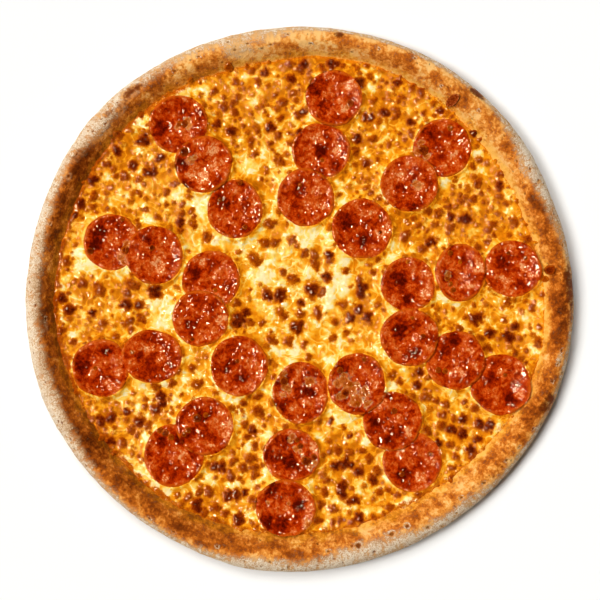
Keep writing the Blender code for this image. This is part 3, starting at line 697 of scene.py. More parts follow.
GOLDEN_BLISTERS = (
    (119, 136, 5), (125, 176, 5), (93, 197, 5.5), (107, 165, 4.5), (139, 179, 4.5), (214, 92, 4.5),
    (224, 107, 5.5), (233, 103, 4.5), (235, 112, 5), (251, 141, 5), (255, 154, 4), (236, 82, 4.5),
    (252, 71, 4), (258, 81, 4), (293, 93, 4.5), (283, 102, 5.5), (298, 116, 4.5), (281, 118, 4),
    (278, 136, 4.5), (271, 143, 3.5), (280, 160, 5), (301, 70, 4.5), (290, 64, 5), (322, 68, 4.5),
    (342, 66, 3.5), (370, 76, 4), (373, 101, 4.5), (396, 110, 5), (396, 116, 4.5), (373, 139, 4.5),
    (356, 151, 5), (371, 193, 3.5), (413, 88, 4), (421, 93, 5), (403, 97, 4), (411, 133, 4),
    (424, 113, 3.5), (469, 142, 4), (473, 166, 4), (500, 174, 4.5), (478, 183, 5.5), (473, 200, 4.5),
    (461, 201, 4), (449, 207, 4.5), (428, 211, 4.5), (438, 214, 5.5), (450, 228, 4.5), (493, 224, 5),
    (514, 221, 5), (505, 203, 4), (175, 184, 4), (166, 192, 4), (182, 213, 4), (139, 193, 3.5),
    (182, 205, 3), (194, 217, 3), (145, 210, 3), (166, 205, 3), (406, 235, 6), (422, 249, 5.5),
    (488, 230, 4.5), (494, 235, 3), (487, 242, 3.5), (478, 247, 4.5), (527, 239, 5.5), (507, 303, 5),
    (532, 307, 4), (504, 320, 4), (480, 338, 4.5), (488, 348, 5), (515, 353, 5), (392, 376, 5),
    (400, 382, 4), (459, 328, 4.5), (540, 328, 3.5), (538, 342, 5), (270, 224, 5.5), (266, 243, 6),
    (274, 243, 5.5), (254, 259, 6.5), (292, 241, 4.5), (315, 256, 5.5), (315, 264, 5.5), (305, 253, 4),
    (330, 261, 3.5), (346, 271, 4), (359, 280, 4), (322, 292, 5), (300, 314, 5), (318, 313, 5.5),
    (281, 313, 6), (249, 321, 4.5), (262, 323, 3.5), (335, 322, 4), (293, 279, 5.5), (283, 272, 4),
    (344, 305, 5), (288, 342, 5), (272, 340, 5.5), (304, 345, 3.5), (309, 357, 4), (347, 333, 3.5),
    (333, 338, 4), (268, 362, 4.5), (273, 377, 4), (373, 272, 4.5), (238, 303, 4), (55, 310, 3),
    (100, 291, 6.5), (97, 286, 4), (132, 284, 7), (127, 293, 4.5), (103, 323, 5), (127, 323, 5.5),
    (131, 330, 4), (141, 319, 5), (116, 336, 4.5), (62, 330, 5), (73, 342, 4), (66, 262, 5.5),
    (181, 231, 4), (193, 225, 4.5), (207, 237, 6), (83, 283, 6), (192, 368, 4.5), (177, 368, 5),
    (131, 430, 5), (148, 426, 4.5), (122, 443, 6), (137, 436, 3.5), (114, 453, 3.5), (145, 407, 3.5),
    (200, 492, 5), (209, 492, 6), (188, 497, 4.5), (204, 513, 5), (216, 508, 5.5), (216, 520, 4),
    (225, 514, 4.5), (172, 384, 4.5), (155, 387, 5), (196, 385, 6), (253, 500, 5), (252, 523, 3.5),
    (230, 476, 5.5), (233, 462, 5), (243, 468, 5), (250, 459, 6), (254, 468, 5), (254, 476, 4.5),
    (245, 424, 4), (247, 437, 4), (255, 446, 4), (258, 411, 7), (243, 403, 3.5), (258, 396, 4.5),
    (325, 493, 5), (321, 503, 5), (327, 481, 4), (338, 450, 5.5), (350, 452, 5), (369, 459, 5),
    (363, 451, 4), (344, 428, 3), (330, 423, 3), (334, 510, 5), (341, 520, 4), (352, 522, 4),
    (333, 522, 4), (317, 520, 6), (378, 471, 5), (380, 493, 4), (446, 404, 4.5), (437, 401, 4),
    (444, 415, 4.5), (441, 426, 6), (426, 430, 6), (451, 445, 4.5), (456, 457, 3.5), (472, 457, 4),
    (452, 468, 4.5), (451, 477, 4.5), (475, 408, 4.5), (425, 397, 6), (464, 402, 3.5), (397, 495, 3.5),
    (390, 507, 4.5), (418, 494, 3.5))
# Smooth pale pools, in photo pixels: column, row, radius
POOLS = (
    (180, 95, 9), (140, 122, 8), (205, 90, 7), (201, 205, 13), (150, 218, 9), (178, 196, 9),
    (108, 175, 7), (250, 167, 12), (265, 153, 7), (253, 103, 7), (258, 120, 7), (308, 118, 6),
    (343, 190, 7), (343, 203, 7), (388, 150, 6), (478, 155, 6), (478, 170, 6), (510, 210, 6),
    (445, 183, 7), (78, 252, 8), (80, 266, 8), (92, 264, 8), (103, 262, 8), (125, 248, 8),
    (125, 268, 9), (155, 303, 10), (168, 308, 12), (160, 324, 11), (72, 335, 6), (297, 233, 9),
    (312, 233, 10), (326, 234, 8), (329, 243, 6), (262, 275, 11), (310, 272, 7), (342, 258, 8),
    (343, 275, 8), (343, 292, 7), (295, 350, 7), (393, 245, 8), (393, 260, 8), (443, 296, 9),
    (456, 303, 8), (463, 324, 6), (392, 307, 8), (124, 396, 8), (140, 385, 7), (140, 408, 6),
    (147, 438, 7), (127, 461, 10), (138, 472, 9), (146, 476, 7), (166, 492, 7), (210, 482, 8),
    (155, 485, 7), (345, 416, 12), (268, 435, 8), (248, 447, 7), (267, 470, 8), (234, 483, 8),
    (252, 484, 8), (392, 385, 6), (424, 408, 6), (390, 478, 7), (411, 500, 8), (366, 442, 6),
    (308, 487, 7), (140, 147, 7), (66, 280, 5))
FRECKLES = 640
FRECKLE_RADII = (1.0 * MM, 2.3 * MM)
FRECKLE_DARKNESS = (-0.28, 0.14)
FRECKLE_CLEARANCE = 0.4 * MM
# Share of the tried places that get a freckle, and how much toasting adds to it
FRECKLES_KEPT = 0.45
FRECKLES_TOASTED = 0.75
DARK_DARKNESS = 0.92
GOLDEN_DARKNESS = 0.24
# Broad places that are browner (or paler, when negative): column, row, radius, strength
TOASTED = (
    (255, 92, 40, 0.7), (325, 90, 40, 0.8), (412, 105, 38, 0.8), (375, 180, 34, 0.8), (470, 195, 46, 0.7),
    (460, 240, 36, 0.9), (510, 215, 36, 0.7), (95, 412, 36, 0.8), (140, 462, 34, 0.7), (280, 140, 28, 0.7),
    (130, 190, 34, 0.5), (410, 150, 30, 0.6), (405, 235, 26, 0.5), (500, 365, 30, 0.4), (277, 412, 26, 0.4),
    (232, 225, 30, -0.9), (277, 262, 34, -0.5), (325, 285, 36, -0.5), (335, 365, 36, -0.8),
    (375, 372, 30, -0.7), (285, 325, 34, -0.5), (187, 370, 28, -0.5), (190, 240, 26, -0.5),
    (150, 280, 28, -0.6), (370, 405, 24, -0.4))
# A blister is a cluster: one main bubble and smaller ones against it, as shares of its radius
MAIN_BUBBLE = 0.78
SIDE_BUBBLES = (0.32, 0.58)
SIDE_BUBBLE_PLACES = (0.55, 0.85)
BLISTER_WARPS = ((4.5 * MM, 0.9 * MM), (2.0 * MM, 0.6 * MM))
FRECKLE_SEED = 21
# The cheese's points form a lattice: its spacing where the cheese is open and where a slice hides
# it, and the distance between its rows as a share of that
CHEESE_SPACING = 0.79 * MM
HIDDEN_SPACING = 3.5 * MM
HIDDEN_MARGIN = 2.0 * MM
LATTICE_ROW = 0.866
CHEESE_EDGE_STEPS = 700
CHEESE_FRINGE = 3.6 * MM
FRINGE_DEPTH = 3.2 * MM
FRINGE_WIDTH = 2.4 * MM
FRINGE_RAGGED = 1.3 * MM
CHEESE_LUMPS = ((7.0 * MM, 0.35 * MM), (2.9 * MM, 0.36 * MM), (1.5 * MM, 0.16 * MM))
BROAD_LUMP = 28.0 * MM
# Pale strands stand up between the grease, and the cheese's edge is darker, browned by the hot rim
# and painted shade, most on the left (every 30 degrees from the right, turning towards the top)
STRAND_RISE = 0.7 * MM
EDGE_BROWNING_AND_SHADE = (0.10, 0.14, 0.20, 0.22, 0.30, 0.44, 0.50, 0.46, 0.34, 0.28, 0.22, 0.14)
EDGE_BROWNING_AND_SHADE_WIDTH = 5.0 * MM
# The cheese clings to the slices' edges, up to this height over their undersides
HUG_HEIGHT = 1.15 * MM
HUG_WIDTH = 2.4 * MM
HUG_INNER_WIDTH = 0.9 * MM
HUG_REACH = 9.0 * MM
HUG_CLEARANCE = 0.1 * MM
# A pale lip of cheese stands beside a slice, brighter on the slice's left as painted highlight, and
# the slice's grease stains what lies round it, stronger on its right as painted shade
LIP_AND_HIGHLIGHT_GAP = 0.7 * MM
LIP_AND_HIGHLIGHT_WIDTH = 0.8 * MM
STAIN_AND_SHADE_WIDTH = 4.0 * MM


def seen_blisters(rows, darkness, side_count):
    """Blisters of one table as clusters of bubbles: rows of x, y, radius and darkness."""
    draw = Random(FRECKLE_SEED + side_count)
    bubbles = []
    for column, row, size in rows:
        x, y = on_pizza(column, row)
        radius = size * PHOTO_PIXEL
        bubbles.append((x, y, MAIN_BUBBLE * radius, darkness))
        first = draw.uniform(0.0, tau)
        for number in range(draw.randint(1, side_count)):
            around = first + number * tau / side_count + draw.uniform(-0.6, 0.6)
            out = draw.uniform(*SIDE_BUBBLE_PLACES) * radius
            bubbles.append((x + out * cos(around), y + out * sin(around),
                            draw.uniform(*SIDE_BUBBLES) * radius, darkness * draw.uniform(0.75, 1.1)))
    return bubbles


def spot_distance(x, y, column, row, size):
    """Distance from a spot seen in the photograph, as a share of the spot's radius."""
    px, py = on_pizza(column, row)
    return np.hypot(x - px, y - py) / (size * PHOTO_PIXEL)


def toast_at(x, y):
    """How much browner (or paler, when negative) the cheese is at a place."""
    return sum(strength * np.exp(-spot_distance(x, y, column, row, size) ** 2)
               for column, row, size, strength in TOASTED)


def add_freckles(blisters):
    """Small blisters between the large ones, most where it is toasted, clear of pools and slices."""
    draw = Random(FRECKLE_SEED)
    pools = np.array([(*on_pizza(column, row), size * PHOTO_PIXEL) for column, row, size in POOLS])
    taken = np.zeros((len(blisters) + FRECKLES, 3))
    taken[:len(blisters)] = [row[:3] for row in blisters]
    count = len(blisters)
    rows = list(blisters)
    while len(rows) < len(blisters) + FRECKLES:
        x, y = (draw.uniform(-EDGE_RADIUS, EDGE_RADIUS) for _ in range(2))
        if draw.random() > FRECKLES_KEPT + FRECKLES_TOASTED * toast_at(x, y):
            continue
        size = FRECKLE_RADII[0] + (FRECKLE_RADII[1] - FRECKLE_RADII[0]) * draw.random() ** 1.5
        darkness = draw.uniform(*FRECKLE_DARKNESS)
        if even_radius_at(np.array(x), np.array(y)) > EDGE_RADIUS + 0.5 * size:
            continue
        if nearest_slice(np.array(x), np.array(y)) < FRECKLE_CLEARANCE:
            continue
        in_pool = np.hypot(pools[:, 0] - x, pools[:, 1] - y) < 0.8 * pools[:, 2]
        gap = np.hypot(taken[:count, 0] - x, taken[:count, 1] - y) - 0.9 * (taken[:count, 2] + size)
        if in_pool.any() or gap.min() < 0.0:
            continue
        taken[count] = (x, y, size)
        count += 1
        rows.append((x, y, size, darkness))
    return rows


def hug_rise(x, y):
    """How far the cheese climbs against the slices' edges, kept below where a slice covers it."""
    rise = np.zeros(len(x))
    ceiling = np.full(len(x), 1.0)
    for piece in slices:
        gap = piece.outside(x, y)
        near = np.nonzero(gap < HUG_REACH)[0]
        gap = gap[near]
        under = piece.underside(x[near], y[near]) - bed_height(x[near], y[near])
        cling = np.exp(-(gap / np.where(gap > 0.0, HUG_WIDTH, HUG_INNER_WIDTH)) ** 2)
        rise[near] = np.maximum(rise[near], (under + HUG_HEIGHT) * cling)
        below = under + HUG_HEIGHT * cling - HUG_CLEARANCE
        ceiling[near] = np.minimum(ceiling[near], np.where(gap < 0.0, below, 1.0))
    return np.minimum(rise, ceiling)


def cheese_lattice():
    """Places of the cheese's points: close together where it is open, wide under the slices."""
    kept = []
    for spacing, hidden in ((CHEESE_SPACING, False), (HIDDEN_SPACING, True)):
        rows = int(OUTER_RADIUS / (spacing * LATTICE_ROW)) + 1
        row, column = np.mgrid[-rows:rows + 1, -rows:rows + 1]
        x = ((column + row % 2 / 2.0) * spacing).ravel()
        y = (row * spacing * LATTICE_ROW).ravel()
        inside = np.hypot(x, y) < OUTER_RADIUS
        x, y = x[inside], y[inside]
        inside = even_radius_at(x, y) < EDGE_RADIUS + CHEESE_FRINGE - spacing
        x, y = x[inside], y[inside]
        under = nearest_slice(x, y) < -HIDDEN_MARGIN - (0.5 * HIDDEN_SPACING if hidden else 0.0)
        kept.append(np.stack([x[under == hidden], y[under == hidden]], axis=-1))
    return np.concatenate(kept)


def raise_blisters(plan, spots, blisters, grain):
    """For each point: how browned it is in a blister, how near one it is, and the blister's rise."""
    x, y = plan[:, 0], plan[:, 1]
    core = np.zeros(len(plan))
    halo = np.zeros(len(plan))
    dome = np.zeros(len(plan))
    warp_x, warp_y = (sum(push * lumps(spots, size, shift) for size, push in BLISTER_WARPS)
                      for shift in (31.0, 47.0))
    tree = kdtree.KDTree(len(plan))
    for index, (px, py) in enumerate(plan):
        tree.insert((px, py, 0.0), index)
    tree.balance()
    draw = Random(FRECKLE_SEED + 1)
    for bx, by, size, darkness in blisters:
        stretch = draw.uniform(0.82, 1.22)
        lean = draw.uniform(0.0, pi)
        sunk = draw.uniform(0.0, 0.35)
        found = tree.find_range((bx, by, 0.0), 3.2 * size + 0.5 * MM)
        near = np.array([row[1] for row in found], int)
        across, along = x[near] + warp_x[near] - bx, y[near] + warp_y[near] - by
        first = (across * cos(lean) + along * sin(lean)) * stretch
        second = (along * cos(lean) - across * sin(lean)) / stretch
        distance = np.hypot(first, second) / size * (1.0 + 0.25 * grain[near])
        cap = np.sqrt(np.clip(1.0 - distance ** 2, 0.0, 1.0))
        dip = sunk * np.clip(1.0 - (distance / 0.55) ** 2, 0.0, 1.0)
        puff = size * (0.58 * cap - 0.5 * dip) + cap * grain[near] * 0.45 * MM
        dome[near] = np.maximum(dome[near], puff)
        depth = 0.30 + 0.70 * darkness
        core[near] = np.maximum(core[near], depth * (1.0 - smooth((distance - 0.3) / 1.15)))
        halo[near] = np.maximum(halo[near], depth ** 0.5 * (1.0 - smooth((distance - 0.6) / 2.0)))
    return core, halo, dome


def pale_greasy_and_painted_light(x, y, grains, wide, core, halo):
    """How pale and greasy each point is: pools, strands, stains and lips partly as painted light."""
    pale_and_highlight = np.zeros(len(x))
    for column, row, size in POOLS:
        distance = spot_distance(x, y, column, row, size) + 0.55 * grains[0] + 0.3 * grains[1]
        pale_and_highlight = np.maximum(pale_and_highlight, 1.0 - smooth((distance - 0.3) / 1.1))
    strands = smooth(grains[0] + 0.4 * grains[1] + 0.6 * wide + 0.25)
    pale_and_highlight = np.maximum(pale_and_highlight, 0.85 * strands) * (1.0 - 0.75 * halo)
    grease_and_shade = smooth((0.45 - 0.6 * grains[0] - 0.5 * wide) * 0.7) * (1.0 - 0.6 * pale_and_highlight)
    grease_and_shade = np.maximum(grease_and_shade * 0.8, 0.95 * halo)
    toast = toast_at(x, y)
    toasted, paler = np.clip(toast, 0.0, 1.0), np.clip(-toast, 0.0, 1.0)
    pale_and_highlight = pale_and_highlight * (1.0 - 0.30 * toasted) + 0.35 * paler * (1.0 - 0.8 * halo)
    grease_and_shade = np.clip(grease_and_shade + 0.25 * toasted - 0.45 * paler * (1.0 - halo), 0.0, 1.3)
    lip = np.zeros(len(x))
    for piece in slices:
        gap = piece.outside(x, y)
        # Painted light: the stain is darker on each slice's right, the shaded side, and the lip is partly
        # painted highlight, brighter on its lit left
        away_from_lamp = np.clip((x - piece.x) / piece.half_width, -1.0, 1.0)
        stain_and_shade = (0.55 + 0.4 * away_from_lamp) * (1.0 - smooth(gap / STAIN_AND_SHADE_WIDTH + 0.3 * grains[1]))
        grease_and_shade = np.maximum(grease_and_shade, stain_and_shade)
        beside = np.exp(-((gap - LIP_AND_HIGHLIGHT_GAP) / LIP_AND_HIGHLIGHT_WIDTH) ** 2)
        lip = np.maximum(lip, 0.55 * beside * smooth(0.35 - 0.8 * away_from_lamp + 0.8 * wide + 0.8 * grains[0]))
    return np.maximum(pale_and_highlight, lip * (1.0 - core)), grease_and_shade * (1.0 - lip)


def cheese_piece(blisters):
    """Blanket of cheese with its blisters, pools and grease, with painted shade and highlight."""
    steps = CHEESE_EDGE_STEPS
    angle = turns(steps)
    reach = stretched(np.full(steps, EDGE_RADIUS + CHEESE_FRINGE), angle)
    edge_points = np.stack([reach * np.cos(angle), reach * np.sin(angle)], axis=-1)
    plan = np.concatenate([edge_points, cheese_lattice()])
    x, y = plan[:, 0], plan[:, 1]
    spots = np.column_stack([plan, np.zeros(len(plan))])
    grains = [lumps(spots, size, 3.1 + 5.7 * order) for order, (size, _) in enumerate(CHEESE_LUMPS)]
    wide = lumps(spots, BROAD_LUMP, 11.0)
    open_share = smooth((nearest_slice(x, y) + 0.8 * MM) / (1.6 * MM))
    from_edge = even_radius_at(x, y) - EDGE_RADIUS

    core, halo, dome = raise_blisters(plan, spots, blisters, grains[2])
    bake_and_shade = core * (1.0 + 0.35 * grains[2]) + 0.30 * halo * (1.0 - core)
    # Painted shade along the cheese's edge, darkest on the left, on top of real browning from the rim
    seam = smooth((from_edge + EDGE_BROWNING_AND_SHADE_WIDTH) / EDGE_BROWNING_AND_SHADE_WIDTH + 0.6 * grains[0]
                  + 0.6 * grains[1])
    bake_and_shade = np.maximum(bake_and_shade, ring_value(EDGE_BROWNING_AND_SHADE, np.arctan2(y, x)) * seam)
    pale_and_highlight, grease_and_shade = pale_greasy_and_painted_light(x, y, grains, wide, core, halo)

    relief = sum(grain * depth for grain, (_, depth) in zip(grains, CHEESE_LUMPS))
    relief = relief + STRAND_RISE * (pale_and_highlight - 0.4)
    ragged = FRINGE_RAGGED * (wide + grains[0] + 0.6 * grains[1])
    fringe = smooth((from_edge + 0.8 * MM - ragged) / FRINGE_WIDTH)
    near_edge = 1.0 - smooth((from_edge + 3.0 * MM) / (3.0 * MM))
    puffed = np.clip(dome / (0.8 * MM), 0.0, 1.0)
    height = (bed_height(x, y) + (relief * (0.3 + 0.7 * near_edge) + dome) * open_share
              + hug_rise(x, y) * near_edge - FRINGE_DEPTH * fringe * (1.0 - puffed))
    top = np.column_stack([plan, height])

    flat = [Vector(spot) for spot in plan]
    hem = [(step, (step + 1) % steps) for step in range(steps)]
    _, _, triangles, sources, _, _ = delaunay_2d_cdt(flat, hem, [], 1, 1e-7)
    order = np.array([source[0] for source in sources])
    points = top[order]
    place = np.empty(len(plan), int)
    place[order] = np.arange(len(order))
    faces = [tuple(triangle) for triangle in triangles]
    fields = {"bake_and_shade": bake_and_shade, "pale_and_highlight": pale_and_highlight, "grease_and_shade": grease_and_shade, "meat": np.zeros(len(plan))}
    fields = {name: values[order] for name, values in fields.items()}

    low = stretched(np.full(steps, FOOT_RADIUS), angle)
    hidden_ring = np.stack([low * np.cos(angle), low * np.sin(angle), np.full(steps, BASE_THICKNESS)],
                           axis=-1)
    start = len(points)
    points = np.concatenate([points, hidden_ring, [[0.0, 0.0, BASE_THICKNESS]]])
    for step in range(steps):
        after = (step + 1) % steps
        faces.append((place[after], place[step], start + step, start + after))
        faces.append((start + after, start + step, start + steps))
    fields = {name: np.concatenate([values, np.zeros(steps + 1)]) for name, values in fields.items()}
    return build_mesh("melted_cheese", points, faces, fields)


def cheese_finish():
    """Melted mozzarella: cream to orange with grease, browned where blistered; painted shade and
    highlights.
    """
    finish = Finish("melted_mozzarella", Specular_IOR_Level=0.0, Coat_Weight=1.0, Coat_Roughness=0.03)
    fine = finish.grain(1.0 * MM, detail=3.0, roughness=0.6)
    middling = finish.grain(3.6 * MM, detail=2.0, roughness=0.5)
    broad = finish.grain(30.0 * MM, detail=2.0)
    wet_places = finish.span(finish.grain(9.0 * MM, detail=1.0), 0.40, 0.58, 0.5, 1.1)
    beads = finish.times(finish.grain(2.1 * MM, detail=0.0), wet_places)
    warmth = finish.sum(finish.times(finish.field("grease_and_shade"), 0.40),
                        finish.times(finish.field("pale_and_highlight"), -0.58),
                        finish.sway(middling, 0.11),
                        finish.span(broad, 0.3, 0.7, -0.08, 0.1),
                        finish.sway(fine, 0.03), 0.55)
    threads = finish.grain(7.5 * MM, detail=2.0, roughness=0.5, distortion=0.5)
    off_thread = finish.reckon("ABSOLUTE", finish.sum(threads, -0.5), 0.0)
    warmth = finish.sum(warmth, finish.span(off_thread, 0.0, 0.08, -0.24, 0.09))
    colour = finish.shades(warmth, (0.0, "#FFE9AC"), (0.22, "#FFD35E"), (0.5, "#FBA41A"),
                           (0.75, "#E07C08"), (1.0, "#B85E04"))
    ripple = finish.sum(finish.sway(fine, 0.5), finish.sway(middling, 0.3))
    where_baked = finish.span(finish.field("bake_and_shade"), 0.0, 0.6, 0.1, 0.3)
    # The bake field carries painted shade at the cheese's edge as well as browning
    baked_with_painted_light = finish.sum(finish.field("bake_and_shade"), finish.times(ripple, where_baked))
    browned = finish.shades(baked_with_painted_light, (0.06, "#EC9010"), (0.20, "#CE6E08"), (0.36, "#B05004"),
                            (0.56, "#943802"), (0.78, "#782402"), (1.0, "#501001"))
    colour = finish.cover(finish.span(baked_with_painted_light, 0.02, 0.26, 0.0, 1.0), colour, browned)
    colour = finish.cover(finish.field("meat"), colour, "#B03C08")
    skin = finish.bump(finish.sum(finish.times(fine, 0.4), middling), 0.4 * MM)
    wet = finish.bump(beads, 0.85 * MM)
    return finish.set(Base_Color=colour, Roughness=finish.span(middling, 0.3, 0.7, 0.4, 0.6),
                      Normal=skin, Coat_Normal=wet)


blisters = add_freckles(seen_blisters(DARK_BLISTERS, DARK_DARKNESS, 4)
                        + seen_blisters(GOLDEN_BLISTERS, GOLDEN_DARKNESS, 2))
cheese = cheese_piece(blisters)
cheese_paint = cheese_finish()
cheese.data.materials.append(cheese_paint)
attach(cheese, "root")
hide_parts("cheese")

# The pepperoni slices
# Cured sausage, minced with flecks of white fat. In the oven the fat runs out as orange grease,
# the rim crisps and curls, and the hollow inside darkens, partly as painted shade, and shines.
SLICE_STEPS = 120
SLICE_TOP_RINGS = 30
SLICE_SIDE_RINGS = 4
SLICE_UNDER_RINGS = 4
SLICE_BEAD = 0.12 * MM
SLICE_BULGE = 0.012
SLICE_ROUNDING = 0.4 * MM
SLICE_LUMPS = ((5.5 * MM, 0.60 * MM), (2.2 * MM, 0.32 * MM))
SLICE_RAGGED = 0.035
# White fat, partly painted highlight, and darker meat, partly painted shade, on the slices, in
# photo pixels: column, row, radius
FAT_AND_HIGHLIGHT = (
    (212, 150, 8), (214, 165, 9), (205, 178, 8), (160, 108, 5), (183, 98, 5), (197, 107, 5),
    (190, 175, 6), (155, 262, 7), (163, 270, 6), (130, 233, 5), (142, 243, 5), (252, 200, 5),
    (233, 222, 5), (330, 78, 6), (352, 86, 7), (345, 108, 6), (317, 140, 6), (338, 150, 6),
    (318, 190, 8), (322, 205, 6), (305, 212, 5), (373, 215, 6), (380, 235, 6), (455, 158, 7),
    (447, 143, 6), (430, 170, 5), (420, 185, 6), (402, 178, 5), (425, 270, 7), (428, 292, 6),
    (478, 268, 6), (470, 285, 5), (525, 268, 5), (508, 280, 6), (531, 275, 5), (434, 325, 6),
    (430, 345, 5), (478, 365, 6), (470, 350, 5), (460, 372, 5), (520, 392, 6), (500, 372, 5),
    (488, 395, 5), (321, 385, 6), (323, 398, 5), (293, 408, 6), (297, 420, 5), (375, 385, 6),
    (385, 402, 5), (410, 430, 6), (400, 418, 5), (432, 462, 6), (420, 477, 6), (400, 452, 5),
    (120, 372, 5), (108, 382, 5), (92, 358, 5), (150, 348, 7), (160, 354, 6), (176, 352, 5),
    (262, 372, 5), (255, 388, 5), (228, 425, 8), (230, 438, 6), (215, 445, 5), (184, 456, 7),
    (190, 468, 6), (165, 478, 5), (314, 445, 6), (311, 437, 5), (310, 522, 8), (306, 528, 6),
    (305, 495, 5), (310, 507, 5), (290, 512, 5), (225, 300, 6), (222, 320, 6), (210, 335, 6),
    (215, 275, 5), (200, 262, 5), (195, 312, 5))
DARK_MEAT_AND_SHADE = (
    (227, 205, 4), (222, 200, 7), (240, 183, 5), (245, 227, 5), (160, 130, 9), (200, 110, 7),
    (180, 165, 8), (185, 185, 8), (278, 440, 11), (272, 455, 9), (290, 462, 9), (272, 490, 9),
    (265, 520, 8), (280, 527, 9), (300, 505, 7), (205, 412, 9), (190, 430, 7), (162, 440, 8),
    (180, 440, 6), (375, 420, 8), (385, 440, 8), (398, 430, 7), (402, 474, 7), (285, 385, 8),
    (284, 405, 7), (310, 392, 8), (345, 370, 6), (390, 395, 7), (85, 365, 8), (105, 350, 7),
    (140, 355, 6), (230, 365, 8), (240, 380, 7), (95, 245, 8), (100, 230, 7), (145, 240, 6),
    (195, 275, 7), (215, 262, 6), (192, 325, 8), (205, 300, 5), (315, 90, 8), (325, 105, 7),
    (320, 150, 8), (335, 165, 6), (300, 190, 8), (295, 205, 6), (350, 222, 9), (362, 240, 7),
    (430, 130, 8), (400, 190, 8), (412, 205, 6), (398, 280, 8), (410, 300, 6), (448, 275, 7),
    (462, 260, 6), (500, 262, 8), (510, 255, 5), (520, 285, 6), (400, 330, 8), (415, 350, 6),
    (445, 352, 7), (455, 340, 6), (495, 380, 8), (510, 400, 6))
# Cheese melted to a thin film on the slices, in photo pixels: column, row, radius
FILMS = (
    (188, 121, 3.2), (189, 127, 3), (177, 127, 2.6), (190, 160, 3.6), (195, 157, 2.6), (121, 256, 4),
    (127, 244, 3.5), (124, 262, 3), (347, 108, 2.6), (427, 156, 4), (417, 152, 3.6), (421, 143, 3),
    (416, 185, 4), (448, 274, 3), (281, 374, 4), (287, 388, 4), (283, 395, 3), (310, 382, 5),
    (345, 380, 6), (352, 388, 7), (343, 396, 5), (356, 400, 6), (365, 392, 5), (367, 403, 4),
    (337, 384, 4), (293, 437, 3), (291, 441, 2.2), (296, 449, 2.8), (300, 451, 2), (310, 466, 3.5),
    (303, 457, 2.5), (315, 463, 2.5), (309, 524, 4.5), (268, 503, 1.7), (289, 503, 1.9))
FILM_SPREAD = 1.5


def spots_on(piece, x, y, rows, uneven, core, fade):
    """Uneven spots seen on a slice in the photograph: 1 in a spot, 0 beside it."""
    field = np.zeros(len(x))
    for column, row, size in rows:
        px, py = on_pizza(column, row)
        if np.hypot(px - piece.x, py - piece.y) < 1.2 * piece.half_width:
            distance = spot_distance(x, y, column, row, size) + uneven
            field = np.maximum(field, 1.0 - smooth((distance - core) / fade))
    return field


def slice_relief(piece, x, y, share):
    """How far the top of a slice stands up or sinks: a curled rim round an uneven hollow."""
    spots = np.column_stack([x, y, np.full(len(x), piece.number * 0.1)])
    grains = [lumps(spots, size, 2.0 + order) for order, (size, _) in enumerate(SLICE_LUMPS)]
    bead = SLICE_BEAD * np.exp(-((share - 0.90) / 0.08) ** 2)
    return bead + sum(grain * depth for grain, (_, depth) in zip(grains, SLICE_LUMPS)), grains


def slice_piece(piece):
    """One slice: top from its middle to its rim, rounded side, and underside."""
    top = np.linspace(0.0, 1.0, SLICE_TOP_RINGS + 1)[1:]
    under = np.linspace(1.0, 0.0, SLICE_UNDER_RINGS + 1)[1:-1]
    level = np.concatenate([np.ones(SLICE_TOP_RINGS), np.linspace(1.0, 0.0, SLICE_SIDE_RINGS + 1)[1:],
                            np.zeros(len(under))])
    share = np.concatenate([top, np.ones(SLICE_SIDE_RINGS), under])
    turn, ring_share = np.meshgrid(turns(SLICE_STEPS), share)
    ring_level = np.repeat(level[:, None], SLICE_STEPS, axis=1)
    bulge = np.sin(ring_level * pi) * SLICE_BULGE
    bulge = bulge - SLICE_BULGE * (ring_level > 0.99) * (ring_share > 0.99)
    distance = piece.reach(turn) * ring_share * (1.0 + bulge * (ring_share > 0.97))
    round_places = np.stack([np.cos(turn), np.sin(turn), np.full_like(turn, piece.number)], axis=-1)
    ragged = lumps(round_places.reshape(-1, 3), 0.35).reshape(turn.shape)
    distance *= 1.0 + SLICE_RAGGED * ragged * smooth((ring_share - 0.5) / 0.5)
    x = np.append((piece.x + distance * np.cos(turn)).ravel(), piece.x)
    y = np.append((piece.y + distance * np.sin(turn)).ravel(), piece.y)
    flat_share = np.append(ring_share.ravel(), 0.0)
    flat_level = np.append(ring_level.ravel(), 1.0)
    relief, grains = slice_relief(piece, x, y, flat_share)
    rounding = smooth((flat_share - 0.93) / 0.07) * SLICE_ROUNDING
    height = piece.underside(x, y) + flat_level * (SLICE_THICKNESS + relief - rounding)
    points = np.column_stack([x, y, height])
    centre = len(points) - 1
    last = (len(share) - 1) * SLICE_STEPS
    points = np.concatenate([points, [[piece.x, piece.y, float(piece.underside(piece.x, piece.y))]]])
    faces = grid_faces(len(share), SLICE_STEPS)
    faces.extend(end_faces(SLICE_STEPS, centre, 0, centre + 1, last))

    uneven = 0.5 * grains[0] + 0.35 * grains[1]
    films = [(column, row, FILM_SPREAD * size) for column, row, size in FILMS]
    edge = smooth((flat_share - 0.86 + 0.05 * grains[0]) / 0.14) * smooth(0.75 + grains[0] + grains[1])
    # The fat spots are partly painted highlight, the dark spots partly painted shade
    fields = {"fat_and_highlight": spots_on(piece, x, y, FAT_AND_HIGHLIGHT, uneven, 0.4, 0.9),
              "dark_and_shade": spots_on(piece, x, y, DARK_MEAT_AND_SHADE, uneven, 0.4, 0.9),
              "edge": edge,
              "film": spots_on(piece, x, y, films, 0.4 * grains[0] + 0.5 * grains[1], 0.2, 1.0)}
    fields = {name: np.append(values, 0.0) for name, values in fields.items()}
    return build_mesh(f"pepperoni_slice_{piece.number:02d}", points, faces, fields)


